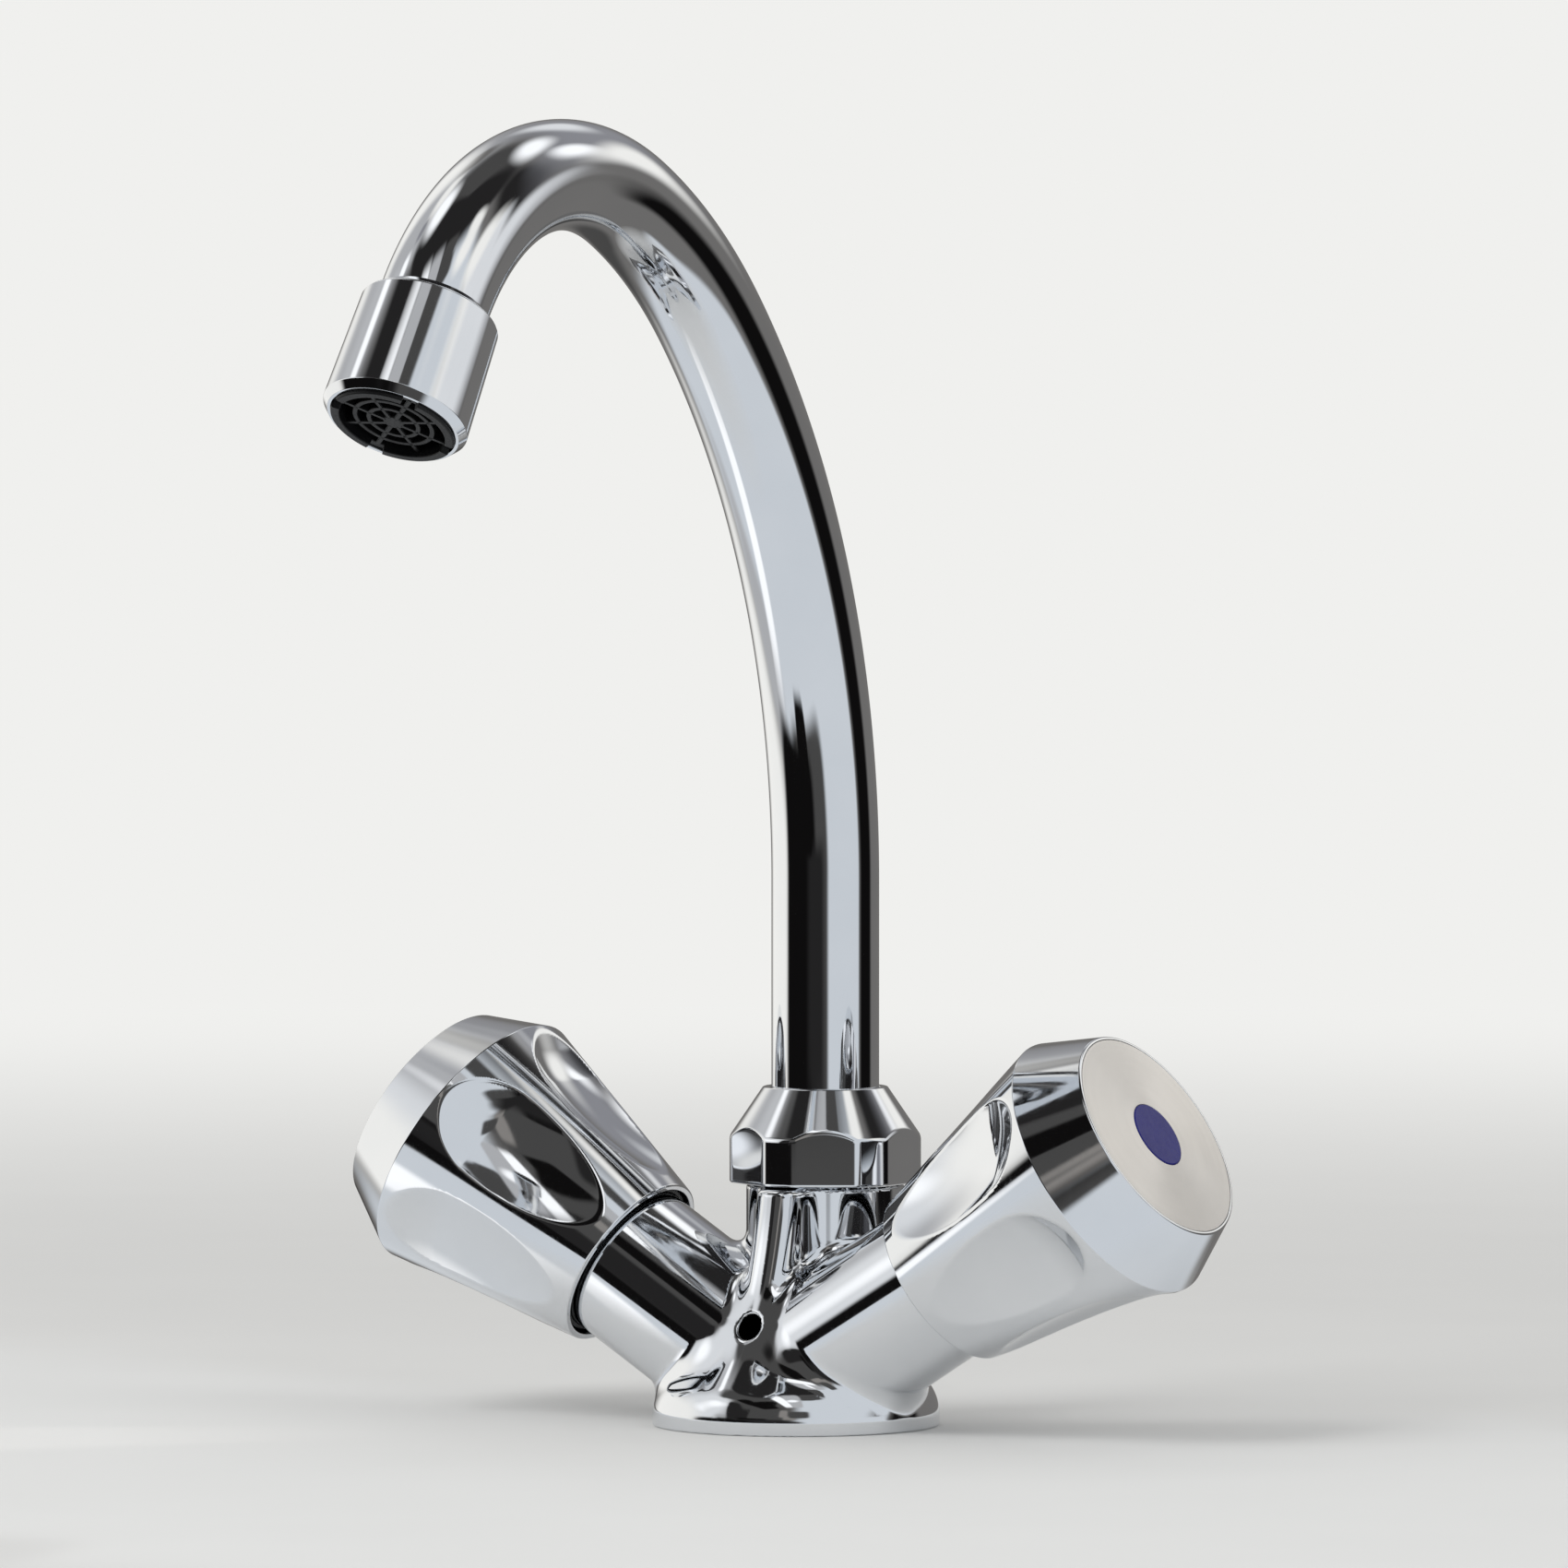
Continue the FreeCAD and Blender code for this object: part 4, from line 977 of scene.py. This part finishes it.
# %% End discs, colour marks and guide rings
CROWN = HANDLE_END + 0.25
MARK_TOP = CROWN + 0.1
DISC_SEAT = CAP_SEAT + 0.05
disc = turned([
    (18.15, HANDLE_END, 0.12), (5.73, CROWN, 0.12), (5.73, MARK_TOP - 1.25, 0),
    (2.03, MARK_TOP - 1.25, 0), (2.03, DISC_SEAT, 0.1), (13.9, DISC_SEAT, 0),
    (13.9, 77.25, 0.2), (14.85, 77.25, 0.2), (14.85, DISC_SEAT, 0),
    (18.15, DISC_SEAT, 0.2)], 256)
mark = turned([
    (5.7, MARK_TOP - 1.2, 0.1), (5.7, MARK_TOP, 0.2), (0.0, MARK_TOP, 0),
    (0.0, MARK_TOP - 4.2, 0), (2.0, MARK_TOP - 4.2, 0.2), (2.0, MARK_TOP - 1.2, 0)], 128)
ring = turned([
    (14.3, 37.0, 0.3), (14.3, 40.2, 0.3), (13.5, 40.2, 0.2), (13.5, 37.0, 0.2)], 192)
COLOUR_OF_SIDE = {"cold": (gloss_blue, "index_blue"), "hot": (gloss_red, "index_red")}
for side, place in ARMS.items():
    colour, colour_slot = COLOUR_OF_SIDE[side]
    add_shape(side + "_end_disc", disc, place, satin, side + "_handle",
              [side + "_end_cap"], "satin_cap")
    add_shape(side + "_colour_mark", mark, place, colour, side + "_handle",
              [side + "_index_button"], colour_slot)
    add_shape(side + "_neck_ring", ring, place, black_plastic, "mixer",
              [side + "_guide_ring"], "black_plastic")

# %% [markdown]
# A chrome object shows its surroundings more than itself, so a studio shapes what it sees.
# The camera looks level from the front right, from far away with a long lens, as a product
# photographer would to keep the sides of the tap parallel. The compass used below has its
# zero behind the camera and counts to the camera's right.

# %% Camera
CAMERA_TURN = math.radians(30.4)
AIM_LEFT, AIM_DOWN = 0.00336, 0.04203
RIGHT = Vector((math.cos(CAMERA_TURN), math.sin(CAMERA_TURN), 0.0))
FORWARD = Vector((-math.sin(CAMERA_TURN), math.cos(CAMERA_TURN), 0.0))
UP = Vector((0.0, 0.0, 1.0))
camera = add_object("photo_camera", bpy.data.cameras.new("photo_camera"))
camera.data.sensor_width = 36.0
camera.data.lens = 321.0
camera.data.clip_end = 30.0
camera.location = (1.1814, -2.0022, 0.2046)
view = FORWARD - AIM_LEFT * RIGHT - AIM_DOWN * UP
camera.rotation_euler = view.to_track_quat("-Z", "Y").to_euler()
bpy.context.scene.camera = camera
print("the camera stands", round(camera.location.length, 2), "m from the tap")

# %% [markdown]
# The floor is pale and keeps the tap's soft shadow. Far out it takes the backdrop's own
# tone, so that no horizon shows behind the tap. The camera and the chrome see that tone,
# and everything else gets plain daylight-coloured light from the world.

# %% Floor and world
BACKDROP = "#F0F0EE"


def seen_directly(tree):
    """1 for what the camera sees itself or in a mirror or through glass, else 0."""
    ray = add(tree, "ShaderNodeLightPath").outputs
    pair = add(tree, "ShaderNodeMath", {0: ray["Is Camera Ray"], 1: ray["Is Glossy Ray"]},
               operation="MAXIMUM")
    both = add(tree, "ShaderNodeMath", {0: pair, 1: ray["Is Transmission Ray"]},
               operation="MAXIMUM")
    return both


world = bpy.data.worlds.new("pale_room")
world.use_nodes = True
sky = world.node_tree
sky.nodes.clear()
plain = add(sky, "ShaderNodeBackground", {"Color": rgb("#FFFFFF"), "Strength": 0.55})
shown = add(sky, "ShaderNodeBackground", {"Color": rgb(BACKDROP), "Strength": 1.0})
mixed = add(sky, "ShaderNodeMixShader", {0: seen_directly(sky), 1: plain, 2: shown})
add(sky, "ShaderNodeOutputWorld", {"Surface": mixed})
bpy.context.scene.world = world

floor_finish, tree, place = new_finish("Pale_matt_floor")
drift = add(tree, "ShaderNodeTexNoise", {"Vector": place, "Scale": 1000 / 60.0})
colour = add(tree, "ShaderNodeMix", {
    0: drift, 6: rgb("#E6E6E4"), 7: rgb("#EAEAE8")}, data_type="RGBA")
shader = add(tree, "ShaderNodeBsdfPrincipled", {"Base Color": colour, "Roughness": 0.8})
far = add(tree, "ShaderNodeVectorMath", {0: place}, operation="LENGTH")
fade = add(tree, "ShaderNodeMapRange", {"Value": far, "From Min": 0.25, "From Max": 1.2},
           interpolation_type="SMOOTHSTEP")
shine = add(tree, "ShaderNodeEmission", {"Color": rgb(BACKDROP), "Strength": 1.0})
amount = add(tree, "ShaderNodeMath", {0: fade, 1: seen_directly(tree)}, operation="MULTIPLY")
mixed = add(tree, "ShaderNodeMixShader", {0: amount, 1: shader, 2: shine})
add(tree, "ShaderNodeOutputMaterial", {"Surface": mixed})
floor_mesh = bpy.data.meshes.new("floor")
floor_mesh.from_pydata([(-9, -9, 0), (9, -9, 0), (9, 9, 0), (-9, 9, 0)], [], [(0, 1, 2, 3)])
floor_mesh.materials.append(floor_finish)
floor = add_object("floor", floor_mesh)
print("floor and world share", BACKDROP)

# %% [markdown]
# Chrome in an even white room looks like white paint. Photographers stand soft boxes, white
# boards and black cards round it, out of the picture, and the bands and blots that they
# leave on it are what says metal. Here they are painted on the inside of one dome, which
# only mirror-like rays can see, so it neither lights the tap nor shades it. A dome stays
# put when the camera goes round the tap, as a real room does.
#
# Each line of the table is one board or box, later ones in front: the compass bearing and
# the height of its middle, its half width and half height, all in degrees as seen from a
# point under the spout's arch, how soft its edge is, its shape and its tone. Shape 2 is an
# oval, and the higher the number, the closer it comes to a rectangle.

# %% Boards and soft boxes round the tap
DOME_RADIUS = 1.4
DOME_EYE = Vector((0.0, 0.0, 0.2))
TONES = {
    "white": "#FFFFFF", "warm white": "#EDEBE6", "pale": "#D6D7D8", "cool pale": "#C6CACE",
    "light grey": "#ABABAC", "mid grey": "#86868A", "warm grey": "#827E7A", "grey": "#6B6967",
    "dark grey": "#454443", "charcoal": "#232222", "black": "#0E0D0D",
}
BOARDS = [
    # ceiling and walls
    (0, 86, 400, 28, 0.20, 4, "dark grey"),
    (5, 72, 110, 17, 0.15, 4, "charcoal"),
    (-128, 36, 46, 24, 0.40, 3, "light grey"),
    (-84, 16, 30, 20, 0.40, 3, "pale"),
    (-52, 42, 36, 9, 0.25, 4, "dark grey"),
    (-60, 56, 38, 6, 0.30, 4, "charcoal"),
    (-30, 16, 26, 22, 0.30, 3, "dark grey"),
    (-49, 11, 9, 15, 0.15, 5, "charcoal"),
    (33, 26, 32, 32, 0.20, 4, "cool pale"),
    (16, 53, 15, 5.5, 0.25, 4, "dark grey"),
    (94, 38, 16, 22, 0.40, 3, "charcoal"),
    (79, 22, 14, 10, 0.25, 4, "pale"),
    (103, 8, 11, 9, 0.30, 4, "light grey"),
    (148, 34, 38, 18, 0.50, 3, "mid grey"),
    (-10.5, 17, 3.5, 8, 0.30, 4, "warm grey"),
    (-5.5, 5.5, 5, 7, 0.30, 4, "warm grey"),
    (2.5, 15, 8.5, 7.5, 0.20, 5, "dark grey"),
    (-36, 2, 12, 3, 0.20, 6, "black"),
    (-26, 37, 7, 6, 0.30, 4, "black"),
    # far floor and what stands on it
    (-20, -62, 118, 30, 0.08, 8, "cool pale"),
    (36, -18, 42, 22, 0.08, 6, "cool pale"),
    (126, -29, 48, 29, 0.08, 8, "grey"),
    (-120, -6, 34, 24, 0.35, 3, "warm white"),
    (-98, -36, 24, 7, 0.50, 3, "light grey"),
    (-28, -18.5, 34, 18.5, 0.12, 6, "dark grey"),
    (-54, -17, 34, 17, 0.13, 6, "black"),
    (-20, -6.5, 17, 9, 0.40, 6, "charcoal"),
    (-37, -27, 11, 14, 0.10, 6, "black"),
    (97, -13, 17, 14, 0.30, 5, "black"),
    (-168, -34, 18, 20, 0.35, 3, "dark grey"),
    (-79, -58, 9, 20, 0.30, 4, "white"),
]
# Strips lie flat on the ceiling, whose height over the eye counts as 1. The first two
# numbers say how far to the right of the eye and how far towards the camera a strip's middle
# is, and the next two are half its width and half its length. The rest is as above.
STRIP_TURN = math.radians(8.5)
STRIPS = [
    (-0.99, 1.25, 0.28, 0.45, 0.15, 6, "black"),
    (-0.405, 1.02, 0.10, 0.56, 0.25, 6, "white"),
    (-0.178, 1.05, 0.13, 0.60, 0.15, 6, "light grey"),
    (0.08, 0.68, 0.12, 0.25, 0.15, 6, "dark grey"),
]
# Soft boxes and what they light up, counted as the boards are.
SOFT_BOXES = [
    (137, 58, 20, 8, 0.60, 2, "white"),
    (122, 35, 7, 10, 0.60, 2, "white"),
    (134, 20, 14, 9, 0.60, 2, "warm white"),
    (170, 37, 14, 7, 0.60, 2, "pale"),
    (60, 55, 10, 6, 0.50, 2, "warm white"),
    (50, 48, 12, 6, 0.50, 2, "warm white"),
    (74, 32, 13, 7, 0.50, 2, "warm white"),
    (95, 12, 14, 8, 0.60, 2, "pale"),
    (-4, 46, 6, 3, 0.50, 2, "white"),
    (-110, 65, 24, 8, 0.50, 2, "white"),
    (-132, 55, 15, 5, 0.60, 2, "warm white"),
    (-101, 42, 7, 4, 0.50, 2, "white"),
    (-113, 50, 6, 3, 0.50, 2, "mid grey"),
    (-158, 51, 12, 7, 0.40, 2, "grey"),
    (-150, 28, 12, 20, 0.60, 2, "warm white"),
    (-78, 16, 15, 6, 0.60, 2, "white"),
]

print("boards, strips and soft boxes:", len(BOARDS), len(STRIPS), len(SOFT_BOXES))

# %% [markdown]
# The dome is a half sphere on a floor of its own, which lies a hair above the real one and
# has a round hole for the tap. Rays other than mirror-like ones pass through both.

# %% The dome's mesh
COLUMNS = 96
LIFT = 0.0005
FADE_START, FADE_END = 0.06, 0.12
rings = [(r, LIFT) for r in (FADE_START, FADE_END, 0.2, 0.3, 0.5, 0.8, 1.1)]
rings += [(DOME_RADIUS * math.cos(a), LIFT + DOME_RADIUS * math.sin(a))
          for a in np.radians(np.arange(0, 90, 7.5))]
points = [(r * math.cos(t), r * math.sin(t), z) for r, z in rings for t in even_angles(COLUMNS)]
faces = [(i * COLUMNS + j, i * COLUMNS + (j + 1) % COLUMNS,
          (i + 1) * COLUMNS + (j + 1) % COLUMNS, (i + 1) * COLUMNS + j)
         for i in range(len(rings) - 1) for j in range(COLUMNS)]
faces.append(tuple(range(len(points) - COLUMNS, len(points))))
dome_mesh = bpy.data.meshes.new("studio_dome")
dome_mesh.from_pydata(points, [], faces)
dome = add_object("studio_dome", dome_mesh)
for ray in ("camera", "diffuse", "transmission", "volume_scatter", "shadow"):
    setattr(dome, "visible_" + ray, False)
print("faces in the dome", len(faces))

# %% [markdown]
# The shader has to know where on the dome it is. From the dome's eye, a place has a
# bearing and a height in degrees. The strips need its spot on a flat ceiling instead: a
# line through the eye and the place is carried on until it meets the ceiling.

# %% Where a place on the dome is
dome_finish, tree, place = new_finish("Painted_studio_dome")
dome_mesh.materials.append(dome_finish)
seen = add(tree, "ShaderNodeVectorMath", {0: place, 1: DOME_EYE}, operation="SUBTRACT")
way = add(tree, "ShaderNodeVectorMath", {0: seen}, operation="NORMALIZE")
strip_turn = Matrix.Rotation(STRIP_TURN, 3, "Z")
right, back, up, strip_right, strip_back = [
    add(tree, "ShaderNodeVectorMath", {0: way, 1: axis}, operation="DOT_PRODUCT")
    for axis in (RIGHT, -FORWARD, UP, strip_turn @ RIGHT, strip_turn @ -FORWARD)]
bearing = add(tree, "ShaderNodeMath", {0: right, 1: back}, operation="ARCTAN2")
height = add(tree, "ShaderNodeMath", {0: up}, operation="ARCSINE")
angles = add(tree, "ShaderNodeCombineXYZ", {0: bearing, 1: height})
on_wall = add(tree, "ShaderNodeVectorMath", {0: angles, "Scale": math.degrees(1.0)},
              operation="SCALE")
above = add(tree, "ShaderNodeMath", {0: up, 1: 0.05}, operation="MAXIMUM")
aside = add(tree, "ShaderNodeCombineXYZ", {0: strip_right, 1: strip_back})
rises = add(tree, "ShaderNodeCombineXYZ", {0: above, 1: above, 2: above})
on_ceiling = add(tree, "ShaderNodeVectorMath", {0: aside, 1: rises}, operation="DIVIDE")
print("nodes for the place on the dome", len(tree.nodes))

# %% [markdown]
# Each board is one more Mix node over the colour so far. Its factor is 1 on the board and
# falls to 0 across its soft edge. The distance from its middle, as a share of its size, is
# a power sum: with the power 2 the board is an oval, and with 6 nearly a rectangle.

# %% Painting the boards
def board_cover(tree, spot, board):
    """1 on a board, 0 beside it, and between the two at its edge."""
    across, up, half_width, half_height, soft, shape, _ = board
    off = add(tree, "ShaderNodeVectorMath", {0: spot, 1: (across, up, 0.0)},
              operation="SUBTRACT")
    near = add(tree, "ShaderNodeVectorMath", {
        0: off, 1: (180.0, 180.0, 180.0), 2: (-180.0, -180.0, -180.0)}, operation="WRAP")
    share = add(tree, "ShaderNodeVectorMath", {
        0: near, 1: (half_width, half_height, 1.0)}, operation="DIVIDE")
    away = add(tree, "ShaderNodeVectorMath", {0: share}, operation="ABSOLUTE")
    parts = add(tree, "ShaderNodeSeparateXYZ", {0: away}).outputs
    powers = [add(tree, "ShaderNodeMath", {0: part, 1: shape}, operation="POWER")
              for part in (parts["X"], parts["Y"])]
    total = add(tree, "ShaderNodeMath", dict(enumerate(powers)), operation="ADD")
    far = add(tree, "ShaderNodeMath", {0: total, 1: 1.0 / shape}, operation="POWER")
    return add(tree, "ShaderNodeMapRange", {
        "Value": far, "From Min": 1.0 + soft, "From Max": 1.0 - soft},
        interpolation_type="SMOOTHSTEP")


colour = rgb(TONES["grey"])
for table, spot in ((BOARDS, on_wall), (STRIPS, on_ceiling), (SOFT_BOXES, on_wall)):
    for board in table:
        cover = board_cover(tree, spot, board)
        colour = add(tree, "ShaderNodeMix", {
            0: cover, 6: colour, 7: rgb(TONES[board[-1]])}, data_type="RGBA")
print("nodes with the boards", len(tree.nodes))

# %% [markdown]
# Chrome gives back about four fifths of the light, so the boards glow a little more than
# their tones say, and each tone is then the one that shows in the chrome. Near the tap the
# dome's floor fades out, and the real floor with the tap's shadow shows instead.

# %% The dome's glow
CHROME_LOSS = 1.25
out = add(tree, "ShaderNodeVectorMath", {0: place}, operation="LENGTH")
start = add(tree, "ShaderNodeMapRange", {
    "Value": out, "From Min": FADE_START, "From Max": FADE_END})
clear = add(tree, "ShaderNodeBsdfTransparent")
glow = add(tree, "ShaderNodeEmission", {"Color": colour, "Strength": CHROME_LOSS})
mixed = add(tree, "ShaderNodeMixShader", {0: start, 1: clear, 2: glow})
add(tree, "ShaderNodeOutputMaterial", {"Surface": mixed})
print("the boards glow", CHROME_LOSS, "times as bright as their tones")

# %% [markdown]
# Two soft lamps give the plastics their light and the floor its shadow. They are bright
# enough, with the world, that a colour comes out about as it is written.

# %% Lamps
TAP_MIDDLE = Vector((0.0, -0.03, 0.08))


def soft_lamp(name, bearing_deg, distance, height, size, watts):
    """A square area lamp on a compass bearing, turned towards the tap."""
    bearing = math.radians(bearing_deg)
    lamp = bpy.data.lights.new(name, "AREA")
    lamp.size = size
    lamp.energy = watts
    spot = add_object(name, lamp)
    spot.location = (RIGHT * math.sin(bearing) - FORWARD * math.cos(bearing)) * distance
    spot.location.z = height
    aim = TAP_MIDDLE - spot.location
    spot.rotation_euler = aim.to_track_quat("-Z", "Y").to_euler()
    spot.visible_glossy = False


soft_lamp("key_lamp", -55, 1.3, 1.5, 1.0, 14.0)
soft_lamp("fill_lamp", 60, 1.5, 1.1, 1.2, 5.0)
bpy.context.scene.view_settings.view_transform = "Standard"
print("lamps", [lamp.name for lamp in bpy.data.lights])
